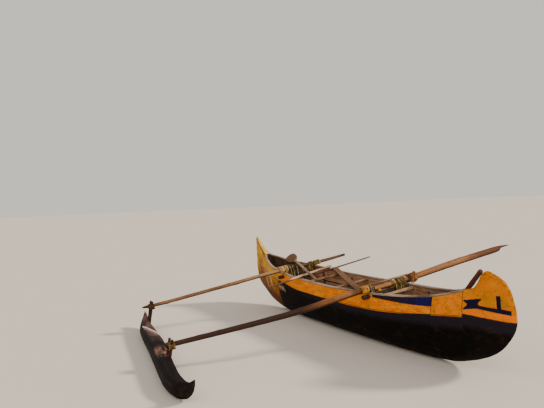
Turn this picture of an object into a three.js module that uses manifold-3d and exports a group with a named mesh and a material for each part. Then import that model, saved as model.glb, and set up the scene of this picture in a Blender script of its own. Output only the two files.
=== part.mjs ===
// A wooden outrigger canoe about 6.2 m long, drawn up on sand: a dugout log with plank topsides,
// a raised bow block and a fin-shaped stern block, two pole booms lashed across the gunwales,
// and a log float on the port side. Millimetres.
// Hull frame: x forward, y to port (the float's side), z up from the keel amidships.
import * as THREE from "three";
import { mergeVertices } from "three/addons/utils/BufferGeometryUtils.js";
import Module from "manifold-3d";

const wasm = await Module();
wasm.setup();

// Driving dimensions
const HEEL = THREE.MathUtils.degToRad(7.3); // how far the hull leans towards the float on the sand
const LOW_Y = 34; // where the leaning bottom is lowest, to port of the keel line
const LIFT = 0.5; // raises the leaning hull so that its worn bottom lies on the sand
const GAP = 0.4; // clearance between neighbouring pieces
const FAR = 3600; // beyond every piece, for cutting blocks

const TOPSIDE = 28; // thickness of the planks and of the log's upper edge
const BOTTOM = 45; // thickness of the log amidships
const END_RISE = 190; // how much thicker the log's bottom is at the ends of its hollow
const RAIL = { width: 34, height: 24, proud: 4 };
const CAVITY = { aft: -2330, fore: 2615, open: 60 }; // ends of the hollow, and its reach over the rails
const SECTION_STEPS = 6; // spans from the keel to the sheer on one side
const LOFT_STEP = 260; // longest spacing of the hull's sections
const BELLY_HEIGHT = 0.42; // share of the depth at which the belly shapes the side

// Hull lines. x: station. half: half-breadth at the sheer. sheer: top of the gunwale.
// keel: underside. belly, bilge: half-breadths that shape the side and the turn of the bottom.
const LINES = [
  { x: -2995, half: 10, sheer: 745, keel: 610, belly: 13, bilge: 7 },
  { x: -2965, half: 12, sheer: 905, keel: 535, belly: 26, bilge: 11 },
  { x: -2900, half: 16, sheer: 1006, keel: 445, belly: 44, bilge: 20 },
  { x: -2780, half: 19, sheer: 1070, keel: 322, belly: 76, bilge: 36 },
  { x: -2690, half: 21, sheer: 1096, keel: 255, belly: 98, bilge: 48 },
  { x: -2640, half: 22, sheer: 1072, keel: 225, belly: 110, bilge: 54 },
  { x: -2550, half: 24, sheer: 988, keel: 180, belly: 130, bilge: 64 },
  { x: -2470, half: 26, sheer: 916, keel: 148, belly: 148, bilge: 74 },
  { x: -2370, half: 32, sheer: 880, keel: 112, belly: 172, bilge: 86 },
  { x: -2000, half: 136, sheer: 800, keel: 22, belly: 250, bilge: 130 },
  { x: -1500, half: 235, sheer: 753, keel: 0, belly: 300, bilge: 190 },
  { x: -940, half: 298, sheer: 732, keel: 0, belly: 330, bilge: 240 },
  { x: 0, half: 324, sheer: 719, keel: 0, belly: 340, bilge: 262 },
  { x: 980, half: 322, sheer: 741, keel: 0, belly: 336, bilge: 250 },
  { x: 1440, half: 300, sheer: 768, keel: 0, belly: 318, bilge: 220 },
  { x: 2000, half: 230, sheer: 807, keel: 8, belly: 262, bilge: 150 },
  { x: 2400, half: 132, sheer: 873, keel: 58, belly: 190, bilge: 95 },
  { x: 2650, half: 50, sheer: 945, keel: 118, belly: 140, bilge: 66 },
  { x: 2850, half: 32, sheer: 1088, keel: 212, belly: 98, bilge: 44 },
  { x: 2985, half: 16, sheer: 1224, keel: 285, belly: 66, bilge: 28 },
  { x: 3060, half: 14, sheer: 1030, keel: 330, belly: 46, bilge: 20 },
  { x: 3130, half: 12, sheer: 760, keel: 385, belly: 26, bilge: 12 },
  { x: 3165, half: 10, sheer: 600, keel: 445, belly: 14, bilge: 8 },
];

// Joint line between the log and its topside planks
const SEAM = [
  { x: -3100, z: 612 },
  { x: -2360, z: 604 },
  { x: -1500, z: 550 },
  { x: -900, z: 526 },
  { x: 0, z: 514 },
  { x: 900, z: 530 },
  { x: 1700, z: 570 },
  { x: 2600, z: 640 },
  { x: 3300, z: 700 },
];
const SCARFS = { sternBlock: -2350, bowBlock: 2300 };

// Planks of each side, from the stern block to the bow block
const PLANKS = [
  { name: "stern", from: -2350, to: -2000 },
  { name: "aft", from: -2000, to: -950 },
  { name: "waist", from: -950, to: 330 },
  { name: "fore", from: 330, to: 1445 },
  { name: "bow", from: 1445, to: 2300 },
];

// Lengths of the log, which is one piece of wood on the real canoe: each is a plain trough here
const LOG_LENGTHS = [
  { name: "stern", from: -FAR, to: -1250 },
  { name: "aft", from: -1250, to: 0 },
  { name: "fore", from: 0, to: 1250 },
  { name: "bow", from: 1250, to: FAR },
];

// Lengths of each rail, which meet under the booms' lashings
const RAIL_LENGTHS = [
  { name: "aft", from: -FAR, to: -950 },
  { name: "mid", from: -950, to: 1445 },
  { name: "fore", from: 1445, to: FAR },
];

// Booms: centre line points and radius at each, from the float to the outboard end
const BOOM_FORE = [
  { x: 1640, y: 2552, z: 700, r: 10 },
  { x: 1600, y: 2520, z: 706, r: 18 },
  { x: 1545, y: 2470, z: 714, r: 24 },
  { x: 1496, y: 2150, z: 727, r: 27 },
  { x: 1462, y: 1300, z: 764, r: 29 },
  { x: 1440, y: 330, z: 800, r: 30 },
  { x: 1440, y: -330, z: 800, r: 30 },
  { x: 1436, y: -870, z: 812, r: 26 },
];
const BOOM_AFT = [
  { x: -589, y: 2802, z: 650, r: 27 },
  { x: -602, y: 2750, z: 653, r: 30 },
  { x: -760, y: 1980, z: 680, r: 34 },
  { x: -900, y: 1240, z: 716, r: 38 },
  { x: -934, y: 820, z: 747, r: 41 },
  { x: -944, y: 330, z: 772, r: 38 },
  { x: -948, y: 262, z: 770, r: 36 },
  { x: -955, y: 0, z: 752, r: 34 },
  { x: -961, y: -262, z: 770, r: 36 },
  { x: -965, y: -330, z: 772, r: 38 },
  { x: -1060, y: -980, z: 842, r: 45 },
  { x: -1110, y: -1640, z: 884, r: 42 },
  { x: -1130, y: -1790, z: 896, r: 30 },
  { x: -1145, y: -1900, z: 908, r: 8 },
];

// Cross beams through the topsides under the booms, and the rope that binds each boom to its beam
const BEAM = { width: 64, height: 50, overhang: 90 };
const CROSSINGS = [
  { name: "fore", boom: BOOM_FORE, x: 1445, z: 695, ropes: [["port", 160, 370], ["starboard", -415, -60]] },
  { name: "aft", boom: BOOM_AFT, x: -950, z: 680, ropes: [["port", 170, 370], ["starboard", -440, -190]] },
];
const ROPE = { pitch: 34, depth: 9, points: 10 }; // the turns' ridges, as they lie side by side

// Thwarts between the topsides
const THWARTS = [
  { name: "thwart_bow", x: 2060, z: 738, width: 60, height: 34 },
  { name: "thwart_fore", x: 705, z: 676, width: 46, height: 34 },
  { name: "thwart_mid", x: -45, z: 672, width: 46, height: 34 },
  { name: "thwart_aft", x: -1105, z: 684, width: 50, height: 34 },
  { name: "thwart_stern", x: -1780, z: 700, width: 120, height: 28 },
];
const RIBS = { stations: [-1450, -560, 360, 1180, 1780], width: 36, depth: 24, below: 60 };

// Float: log carved as a small boat. s runs forward along it from its middle, heights from the sand.
// half: half-width of its flat top. mid: how far the log bulges outboard of the line between its tips.
const FLOAT = {
  tips: { fore: { x: 2060, y: 2442 }, aft: { x: -1900, y: 2886 } },
  raised: 230, // height of the tips over the sand, from which their places are taken
  waist: 0.58, // share of the depth at which the log is widest
  sections: [
    { s: -1995, half: 6, mid: 0, top: 262, bottom: 196 },
    { s: -1945, half: 12, mid: 8, top: 240, bottom: 130 },
    { s: -1870, half: 26, mid: 26, top: 206, bottom: 66 },
    { s: -1780, half: 48, mid: 60, top: 186, bottom: 18 },
    { s: -1640, half: 76, mid: 100, top: 178, bottom: 0 },
    { s: -1350, half: 92, mid: 122, top: 178, bottom: -4 },
    { s: -500, half: 104, mid: 98, top: 184, bottom: -4 },
    { s: 300, half: 112, mid: 74, top: 188, bottom: -4 },
    { s: 1150, half: 96, mid: 74, top: 190, bottom: -4 },
    { s: 1550, half: 74, mid: 48, top: 200, bottom: 6 },
    { s: 1800, half: 44, mid: 20, top: 220, bottom: 50 },
    { s: 1940, half: 20, mid: 4, top: 240, bottom: 115 },
    { s: 1998, half: 8, mid: 0, top: 250, bottom: 180 },
  ],
};

// Stakes that stand in the float on both sides of each boom's end, with a peg through their lashing
const STAKE = { radius: 19, tip: 15, sides: 8, spread: 0.06, lean: 0.3, clear: 5 };
const STAKES = [
  { name: "fore", boom: BOOM_FORE, y: 2440, rise: 66, below: 270 },
  { name: "aft", boom: BOOM_AFT, y: 2752, rise: 65, below: 190 },
];
const STAKE_BINDING = { below: 26, turns: 3, pitch: 25 };

// Gear that lies across the hull; the lashing pole lies on the aft boom
const LASHING_POLE = [
  { x: -908, y: 345, z: 810, r: 13 },
  { x: -929, y: -345, z: 811, r: 13 },
];
const CROSS_POLE = [
  { x: 568, y: 950, z: 766, r: 17 },
  { x: 810, y: 330, z: 764, r: 23 },
  { x: 1010, y: -340, z: 768, r: 22 },
];
const CROSS_STICK = [
  { x: 868, y: 70, z: 726, r: 12 },
  { x: 868, y: -322, z: 753, r: 12 },
  { x: 886, y: -1000, z: 790, r: 10 },
];
const PADDLE = {
  shaft: [
    { x: 335, y: 316, z: 768, r: 21 },
    { x: 1620, y: -35, z: 872, r: 21 },
  ],
  blade: { length: 560, half: 95, thick: 9, tip: 0.6, tilt: 0.78 }, // tilt: its port edge hangs lower
};
const BOARD = { fore: { x: 800, y: -278, z: 773 }, aft: { x: -640, y: 188, z: 662 }, width: 90, thick: 24 };
const STERN_STAKE = [
  { x: -2330, y: -8, z: 848, r: 25 },
  { x: -2574, y: -17, z: 1085, r: 25 },
];
const POLE_SIDES = 8;
const BOOM_SIDES = 10;

const COLOURS = {
  hull: 0x14110f,
  plank: 0xd17a12,
  bow: 0xb98526,
  rail: 0x9a8f88,
  inside: 0x7a5840,
  boom: 0x7d4f33,
  weathered: 0x8f7c68,
  rope: 0xb8933a,
  float: 0x3a2b26,
  stake: 0x4a2416,
};

// Solids: a closed BufferGeometry goes in and out of manifold-3d for the cuts and joins
function solid(geometry, matrix = new THREE.Matrix4()) {
  const source = geometry.index ? geometry.toNonIndexed() : geometry.clone();
  const bare = new THREE.BufferGeometry().setAttribute("position", source.getAttribute("position"));
  const merged = mergeVertices(bare.applyMatrix4(matrix), 1e-3);
  return new wasm.Manifold(
    new wasm.Mesh({
      numProp: 3,
      vertProperties: merged.attributes.position.array,
      triVerts: new Uint32Array(merged.index.array),
    }),
  );
}

function geometryOf(shape) {
  const made = shape.getMesh();
  const positions = new Float32Array(made.numVert * 3);
  for (let i = 0; i < made.numVert; i++) {
    positions.set(made.vertProperties.subarray(i * made.numProp, i * made.numProp + 3), i * 3);
  }
  const geometry = new THREE.BufferGeometry()
    .setAttribute("position", new THREE.BufferAttribute(positions, 3))
    .setIndex(new THREE.BufferAttribute(new Uint32Array(made.triVerts), 1));
  geometry.computeVertexNormals();
  return geometry;
}

// A closed skin over a row of rings, each a list of Vector3 of the same length
function loft(rings) {
  const count = rings[0].length;
  const points = rings.flat();
  const faces = [];
  for (let i = 0; i + 1 < rings.length; i++) {
    for (let j = 0; j < count; j++) {
      const a = i * count + j;
      const b = i * count + ((j + 1) % count);
      faces.push(a, b, b + count, a, b + count, a + count);
    }
  }
  for (const [ring, flip] of [[0, true], [rings.length - 1, false]]) {
    const middle = points.length;
    const centre = rings[ring].reduce((sum, p) => sum.add(p), new THREE.Vector3());
    points.push(centre.divideScalar(count));
    for (let j = 0; j < count; j++) {
      const a = ring * count + j;
      const b = ring * count + ((j + 1) % count);
      faces.push(...(flip ? [b, a, middle] : [a, b, middle]));
    }
  }
  if (signedVolume(points, faces) < 0) faces.reverse();
  const geometry = new THREE.BufferGeometry().setFromPoints(points);
  return solid(geometry.setIndex(faces));
}

function signedVolume(points, faces) {
  let sum = 0;
  for (let i = 0; i < faces.length; i += 3) {
    const [a, b, c] = [points[faces[i]], points[faces[i + 1]], points[faces[i + 2]]];
    sum += a.dot(b.clone().cross(c));
  }
  return sum;
}

function block(x0, x1, y0, y1, z0, z1) {
  const geometry = new THREE.BoxGeometry(x1 - x0, y1 - y0, z1 - z0);
  return solid(geometry.translate((x0 + x1) / 2, (y0 + y1) / 2, (z0 + z1) / 2));
}

function cut(shape, tools) {
  return tools.reduce((rest, tool) => rest.subtract(tool), shape);
}

// Largest body of a solid, so that a cut leaves one piece
function biggest(shape) {
  return shape.decompose().reduce((best, next) => (next.volume() > best.volume() ? next : best));
}

// Value of a column of a table at x, on a smooth curve through its rows
function along(table, column, x) {
  let i = table.findIndex((row) => row.x >= x);
  i = Math.min(Math.max(i < 0 ? table.length - 1 : i, 1), table.length - 1);
  const [a, b] = [table[i - 1], table[i]];
  const slope = (p, q) => (q[column] - p[column]) / (q.x - p.x);
  const chord = slope(a, b);
  const before = table[i - 2] ? slope(table[i - 2], a) : chord;
  const after = table[i + 1] ? slope(b, table[i + 1]) : chord;
  const ease = (other) => (other * chord <= 0 ? 0 : (2 * other * chord) / (other + chord));
  const span = b.x - a.x;
  const u = THREE.MathUtils.clamp((x - a.x) / span, 0, 1);
  const [m0, m1] = [ease(before) * span, ease(after) * span];
  const [u2, u3] = [u * u, u * u * u];
  return (
    (2 * u3 - 3 * u2 + 1) * a[column] + (u3 - 2 * u2 + u) * m0 +
    (3 * u2 - 2 * u3) * b[column] + (u3 - u2) * m1
  );
}

function stations(from, to) {
  const marks = [from, ...LINES.map((row) => row.x).filter((x) => x > from && x < to), to];
  const list = [from];
  for (let i = 1; i < marks.length; i++) {
    const [start, span] = [marks[i - 1], marks[i] - marks[i - 1]];
    const parts = Math.ceil(span / LOFT_STEP);
    for (let k = 1; k <= parts; k++) list.push(start + (span * k) / parts);
  }
  return list;
}

// One cross-section ring of the hull, set in from its skin, with its bottom and its top moved up
function section(x, inset, floor, raise) {
  const at = (column) => along(LINES, column, x);
  const low = at("keel") + floor;
  const width = (value) => Math.max(value - inset, 3);
  const curve = new THREE.CubicBezierCurve(
    new THREE.Vector2(0, low),
    new THREE.Vector2(width(at("bilge")), low),
    new THREE.Vector2(width(at("belly")), low + BELLY_HEIGHT * (at("sheer") - low)),
    new THREE.Vector2(width(at("half")), at("sheer") + raise),
  );
  const side = curve.getPoints(SECTION_STEPS);
  const port = side.map((p) => new THREE.Vector3(x, p.x, p.y));
  const starboard = side.slice(1).reverse().map((p) => new THREE.Vector3(x, -p.x, p.y));
  return [...starboard, ...port];
}

// The hull as if solid, grown by grow on every side
function hullForm(grow = 0) {
  const list = stations(LINES[0].x, LINES.at(-1).x);
  return loft(list.map((x) => section(x, -grow, -grow, grow)));
}

// The hollow, drawn in by inset on every side
function cavity(inset = 0) {
  const { aft, fore, open } = CAVITY;
  const flat = 1500;
  const floor = (x) => {
    const end = Math.max((x - flat) / (fore - flat), (x + flat) / (aft + flat), 0);
    return BOTTOM + inset + END_RISE * end * end;
  };
  const list = stations(aft + inset, fore - inset);
  return loft(list.map((x) => section(x, TOPSIDE + inset, floor(x), open)));
}

// A band across the hull between two levels, each a function of x
function band(from, to, low, high) {
  const side = 600;
  return loft(
    stations(from, to).map((x) => [
      new THREE.Vector3(x, -side, low(x)),
      new THREE.Vector3(x, side, low(x)),
      new THREE.Vector3(x, side, high(x)),
      new THREE.Vector3(x, -side, high(x)),
    ]),
  );
}
const seam = (x) => along(SEAM, "z", x);
const sheer = (x) => along(LINES, "sheer", x);

// Gunwale rail on one side: a squared strip on the planks' top edge, or that strip grown for a cut
function rail(side, grow = 0) {
  const { aft, fore } = CAVITY;
  const rings = stations(aft - grow, fore + grow).map((x) => {
    const outside = along(LINES, "half", x) + RAIL.proud;
    const inside = Math.max(outside - RAIL.width - grow, GAP - grow);
    const [low, high] = [sheer(x) - RAIL.height - grow, sheer(x) + grow];
    const corners = [[outside + grow, low], [outside + grow, high], [inside, high], [inside, low]];
    return corners.map(([y, z]) => new THREE.Vector3(x, side * y, z));
  });
  return loft(rings);
}

// A pole with round sections square to its centre line, grown for a cut
function pole(path, sides = POLE_SIDES, grow = 0) {
  const centres = path.map(({ x, y, z }) => new THREE.Vector3(x, y, z));
  const ahead = centres.map((_, i) => {
    const before = centres[Math.max(i - 1, 0)];
    return centres[Math.min(i + 1, centres.length - 1)].clone().sub(before).normalize();
  });
  const up = Math.abs(ahead[0].z) > 0.8 ? new THREE.Vector3(1, 0, 0) : new THREE.Vector3(0, 0, 1);
  const rings = centres.map((centre, i) => {
    const across = ahead[i].clone().cross(up).normalize();
    const above = across.clone().cross(ahead[i]);
    const radius = (path[i].r + grow) / Math.cos(Math.PI / sides);
    const reach = i === 0 ? -grow : i === centres.length - 1 ? grow : 0;
    return Array.from({ length: sides }, (_, k) => {
      const angle = (2 * Math.PI * (k + 0.5)) / sides + Math.PI / 2;
      return centre
        .clone()
        .addScaledVector(ahead[i], reach)
        .addScaledVector(across, radius * Math.cos(angle))
        .addScaledVector(above, radius * Math.sin(angle));
    });
  });
  return loft(rings);
}

function beam({ x, z }, grow = 0) {
  const reach = along(LINES, "half", x) + BEAM.overhang + grow;
  const [w, h] = [BEAM.width / 2 + grow, BEAM.height / 2 + grow];
  return block(x - w, x + w, -reach, reach, z - h, z + h);
}

// The worn bottom: everything under the sand's level, which leans in the hull frame
const hullPlace = new THREE.Matrix4()
  .makeTranslation(0, -LOW_Y, LIFT)
  .multiply(new THREE.Matrix4().makeRotationX(-HEEL));
const sand = solid(new THREE.BoxGeometry(3 * FAR, 3 * FAR, FAR).translate(0, 0, -FAR / 2));
const sandUnderHull = sand.transform(hullPlace.clone().invert().elements);

const hollow = cavity();
const neighbours = {
  booms: [pole(BOOM_FORE, BOOM_SIDES, GAP), pole(BOOM_AFT, BOOM_SIDES, GAP)],
  beams: CROSSINGS.map((crossing) => beam(crossing, GAP)),
  rails: [rail(1, GAP), rail(-1, GAP)],
  skin: hullForm(GAP).subtract(cavity(GAP)),
  topPole: pole(LASHING_POLE, POLE_SIDES, GAP),
};

function hullShell() {
  const { aft, fore } = CAVITY;
  const bed = band(aft - GAP, fore + GAP, (x) => sheer(x) - RAIL.height - GAP, () => FAR);
  return cut(hullForm(), [hollow, bed]);
}

function addHull() {
  const shell = hullShell();
  const below = band(-FAR, FAR, () => -FAR, (x) => seam(x) - GAP / 2);
  const above = band(-FAR, FAR, (x) => seam(x) + GAP / 2, () => FAR);
  const log = shell.intersect(below).subtract(sandUnderHull);
  const slice = (x0, x1, y0, y1) => block(x0 + GAP / 2, x1 - GAP / 2, y0, y1, -FAR, FAR);
  for (const { name, from, to } of LOG_LENGTHS) {
    add(`log_${name}`, log.intersect(slice(from, to, -FAR, FAR)), "hull");
  }
  const upper = cut(shell.intersect(above), neighbours.beams);
  const between = (...limits) => upper.intersect(slice(...limits));
  add("stern_block", between(-FAR, SCARFS.sternBlock, -FAR, FAR), "plank");
  add("bow_block", between(SCARFS.bowBlock, FAR, -FAR, FAR), "bow");
  for (const [side, y0, y1] of [["port", 0, FAR], ["starboard", -FAR, 0]]) {
    for (const { name, from, to } of PLANKS) add(`plank_${side}_${name}`, between(from, to, y0, y1), "plank");
    const whole = rail(y1 > 0 ? 1 : -1);
    for (const { name, from, to } of RAIL_LENGTHS) {
      add(`rail_${side}_${name}`, whole.intersect(slice(from, to, y0, y1)), "rail");
    }
  }
  for (const crossing of CROSSINGS) add(`cross_beam_${crossing.name}`, beam(crossing), "weathered");
  addInside();
}

function addInside() {
  const bar = ({ x, z, width, height }, grow) => {
    const [w, h] = [width / 2 + grow, height / 2 + grow];
    return block(x - w, x + w, -FAR, FAR, z - h, z + h);
  };
  const lining = cavity(GAP);
  const framing = lining.subtract(cavity(RIBS.depth));
  for (const thwart of THWARTS) add(thwart.name, bar(thwart, 0).intersect(lining), "inside");
  RIBS.stations.forEach((x, i) => {
    const w = RIBS.width / 2;
    const slice = framing.intersect(block(x - w, x + w, -FAR, FAR, -FAR, sheer(x) - RIBS.below));
    add(`rib_${i + 1}`, cut(slice, THWARTS.map((thwart) => bar(thwart, GAP))), "inside");
  });
}

// Centre and radius of a boom where it crosses the plane y
function boomAt(path, y) {
  const i = Math.max(path.findIndex((p) => p.y <= y), 1);
  const [a, b] = [path[i - 1], path[i]];
  const u = (y - a.y) / (b.y - a.y);
  const mix = (key) => a[key] + u * (b[key] - a[key]);
  return { x: mix("x"), z: mix("z"), r: mix("r") };
}

// Rope wound round bars that run across the hull: ridged turns from y0 to y1
function winding(barsAt, y0, y1) {
  const turns = Math.max(Math.round((y1 - y0) / ROPE.pitch), STAKE_BINDING.turns);
  const ring = (y, off) =>
    Array.from({ length: ROPE.points }, (_, k) => {
      const angle = (2 * Math.PI * (k + 0.5)) / ROPE.points;
      const dir = new THREE.Vector2(Math.cos(angle), Math.sin(angle));
      const reach = (bar) => bar.x * dir.x + bar.z * dir.y + bar.r;
      const bar = barsAt(y).reduce((best, next) => (reach(next) > reach(best) ? next : best));
      return new THREE.Vector3(bar.x + (bar.r + off) * dir.x, y, bar.z + (bar.r + off) * dir.y);
    });
  const rings = [];
  for (let i = 0; i <= turns; i++) {
    const y = y0 + ((y1 - y0) * i) / turns;
    rings.push(ring(y, ROPE.depth / 2));
    if (i < turns) rings.push(ring(y + (y1 - y0) / turns / 2, ROPE.depth * 1.5));
  }
  return loft(rings);
}

function addBooms() {
  add("boom_fore", pole(BOOM_FORE, BOOM_SIDES), "boom");
  add("boom_aft", pole(BOOM_AFT, BOOM_SIDES), "boom");
  const { booms, beams, rails, skin, topPole } = neighbours;
  for (const { name, boom, x, z, ropes } of CROSSINGS) {
    const low = { x, z, r: BEAM.width / 2 + 2 };
    for (const [side, y0, y1] of ropes) {
      const rope = winding((y) => [boomAt(boom, y), low], y0, y1);
      add(`lashing_${name}_${side}`, cut(rope, [...booms, ...beams, ...rails, skin, topPole]), "rope");
    }
  }
}

// The float in its own frame: x along it, z up from the sand
function floatLog() {
  const rings = FLOAT.sections.map(({ s, half, mid, top, bottom }) => {
    const depth = top - bottom;
    const outline = [
      [half * 0.84, top],
      [half, bottom + depth * FLOAT.waist],
      [half * 0.72, bottom + depth * 0.16],
      [half * 0.26, bottom],
    ];
    const port = outline.map(([y, z]) => new THREE.Vector3(s, mid + y, z));
    const starboard = outline.map(([y, z]) => new THREE.Vector3(s, mid - y, z)).reverse();
    return [...port, ...starboard];
  });
  return loft(rings).subtract(sand);
}

// Where the float lies on the sand: its tips' x and y are given in the leaning hull frame
function floatPlace() {
  const rise = FLOAT.raised - LIFT;
  const tip = ({ x, y }) => new THREE.Vector2(x, y / Math.cos(HEEL) + rise * Math.tan(HEEL) - LOW_Y);
  const [fore, aft] = [tip(FLOAT.tips.fore), tip(FLOAT.tips.aft)];
  const middle = fore.clone().add(aft).divideScalar(2);
  return { x: middle.x, y: middle.y, turn: fore.sub(aft).angle() };
}

function stake(spot, side, grow = 0) {
  const end = boomAt(spot.boom, spot.y);
  const off = side * (end.r + STAKE.radius + STAKE.clear);
  const at = (rise, r) => ({
    x: end.x + off + side * STAKE.spread * rise,
    y: spot.y - STAKE.lean * rise,
    z: end.z + rise,
    r,
  });
  const path = [at(-spot.below, STAKE.radius), at(0, STAKE.radius), at(spot.rise, STAKE.tip)];
  return pole(path, STAKE.sides, grow);
}

function addFloat(place) {
  const floatMatrix = new THREE.Matrix4()
    .makeTranslation(place.x, place.y, 0)
    .multiply(new THREE.Matrix4().makeRotationZ(place.turn));
  const toFloat = floatMatrix.invert().multiply(hullPlace);
  const pairs = STAKES.flatMap((spot) => [-1, 1].map((side) => ({ spot, side })));
  const sockets = pairs.map(({ spot, side }) => stake(spot, side, GAP).transform(toFloat.elements));
  add("float_log", cut(floatLog(), sockets), "float", "float");
  for (const { spot, side } of pairs) {
    add(`stake_${spot.name}_${side < 0 ? "aft" : "front"}`, stake(spot, side), "stake");
  }
  for (const spot of STAKES) {
    const end = boomAt(spot.boom, spot.y);
    const half = (STAKE_BINDING.turns * STAKE_BINDING.pitch) / 2;
    const reach = end.r + 2 * STAKE.radius + STAKE.clear;
    const bars = [-1, 1].flatMap((side) =>
      [0, -STAKE_BINDING.below].map((drop) => ({
        x: end.x + side * (reach - STAKE.radius),
        z: end.z + drop,
        r: STAKE.radius + 1,
      })),
    );
    const rope = winding(() => bars, spot.y - half, spot.y + half);
    const inside = [stake(spot, -1, GAP), stake(spot, 1, GAP), ...neighbours.booms];
    add(`lashing_float_${spot.name}`, cut(rope, inside), "rope");
  }
}

// A flat piece of wood from one point to another: level across, or with its port edge tilted down
function slat(from, to, outline, thick, tilt = 0) {
  const [a, b] = [from, to].map(({ x, y, z }) => new THREE.Vector3(x, y, z));
  const ahead = b.clone().sub(a);
  const length = ahead.length();
  ahead.normalize();
  const across = new THREE.Vector3(0, 0, 1).cross(ahead).normalize().applyAxisAngle(ahead, -tilt);
  const above = ahead.clone().cross(across);
  const rings = outline.map(({ at, half }) =>
    [[half, -1], [half, 1], [-half, 1], [-half, -1]].map(([w, h]) =>
      a.clone()
        .addScaledVector(ahead, at * length)
        .addScaledVector(across, w)
        .addScaledVector(above, (h * thick) / 2),
    ),
  );
  return loft(rings);
}

function paddle() {
  const [grip, neck] = PADDLE.shaft;
  const { length, half, thick, tip, tilt } = PADDLE.blade;
  const ahead = new THREE.Vector3(neck.x - grip.x, neck.y - grip.y, neck.z - grip.z).normalize();
  const end = { x: neck.x + ahead.x * length, y: neck.y + ahead.y * length, z: neck.z + ahead.z * length };
  const outline = [
    { at: -0.1, half: 8 },
    { at: 0.16, half: half * 0.7 },
    { at: 0.45, half: half * 0.95 },
    { at: 0.85, half },
    { at: 1, half: half * tip },
  ];
  return pole(PADDLE.shaft).add(slat(neck, end, outline, thick * 2, tilt));
}

function addGear() {
  add("lashing_pole", pole(LASHING_POLE), "weathered");
  add("cross_pole", pole(CROSS_POLE), "weathered");
  add("cross_stick", pole(CROSS_STICK), "stake");
  add("paddle", paddle(), "weathered");
  const half = BOARD.width / 2;
  add("loose_board", slat(BOARD.fore, BOARD.aft, [{ at: 0, half }, { at: 1, half }], BOARD.thick), "inside");
  add("stern_stake", cut(pole(STERN_STAKE), [neighbours.skin, ...neighbours.rails]), "stake");
}

const canoe = new THREE.Group();
const hullGroup = new THREE.Group();
hullGroup.applyMatrix4(hullPlace);
const floatGroup = new THREE.Group();
const place = floatPlace();
floatGroup.rotation.z = place.turn;
floatGroup.position.set(place.x, place.y, 0);
canoe.add(hullGroup, floatGroup);

function add(name, shape, colour, group = "hull") {
  const material = new THREE.MeshStandardMaterial({ color: COLOURS[colour], roughness: 0.85, metalness: 0 });
  const mesh = new THREE.Mesh(geometryOf(biggest(shape)), material);
  mesh.name = name;
  (group === "float" ? floatGroup : hullGroup).add(mesh);
}

addHull();
addBooms();
addFloat(place);
addGear();

// The origin is on the sand, under the middle of the whole canoe
const box = new THREE.Box3().setFromObject(canoe, true);
canoe.position.set(-(box.min.x + box.max.x) / 2, -(box.min.y + box.max.y) / 2, -box.min.z);

export default canoe;
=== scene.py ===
"""Looks of a wooden outrigger canoe that stands on the ground, leaning towards its float.

Every piece is made in the hull's own upright frame, in metres: x to the bow, y to port, z up from the
keel amidships. HULL_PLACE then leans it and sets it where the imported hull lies.
"""

import logging
import math
import random
from dataclasses import dataclass, field
from enum import Enum
from functools import cache
from typing import NamedTuple, Sequence

import bpy
import numpy as np
from mathutils import Matrix, Vector, noise


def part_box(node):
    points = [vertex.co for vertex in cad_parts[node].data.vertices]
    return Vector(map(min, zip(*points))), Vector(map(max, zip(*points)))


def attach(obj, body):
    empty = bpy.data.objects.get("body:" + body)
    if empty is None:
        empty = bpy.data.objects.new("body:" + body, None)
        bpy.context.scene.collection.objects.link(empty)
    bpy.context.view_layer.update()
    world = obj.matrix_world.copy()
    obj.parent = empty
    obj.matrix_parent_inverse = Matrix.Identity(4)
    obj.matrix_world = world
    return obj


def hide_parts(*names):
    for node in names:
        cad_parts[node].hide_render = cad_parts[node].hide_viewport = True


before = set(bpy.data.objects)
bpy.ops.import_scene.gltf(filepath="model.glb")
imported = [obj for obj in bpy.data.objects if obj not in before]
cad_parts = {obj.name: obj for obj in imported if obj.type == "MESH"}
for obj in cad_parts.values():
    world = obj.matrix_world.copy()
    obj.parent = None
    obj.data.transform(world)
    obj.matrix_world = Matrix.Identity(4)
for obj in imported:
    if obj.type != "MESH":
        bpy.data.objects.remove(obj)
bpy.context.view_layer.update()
log = logging.getLogger("canoe")

Point = tuple[float, float, float]
Colour = tuple[float, float, float, float]

# How the hull lies: its lean, its lowest line, its clearance, and where its fore beam is
HEEL = math.radians(7.3)
LOW_Y = 0.034
LIFT = 0.0005
BEAM_X = 1.445
BEAM_Z = 0.695


class Station(NamedTuple):
    """Hull lines at one place along the hull: heights, and half-breadths from the sheer down."""

    x: float
    half: float
    sheer: float
    keel: float
    belly: float
    bilge: float


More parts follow.
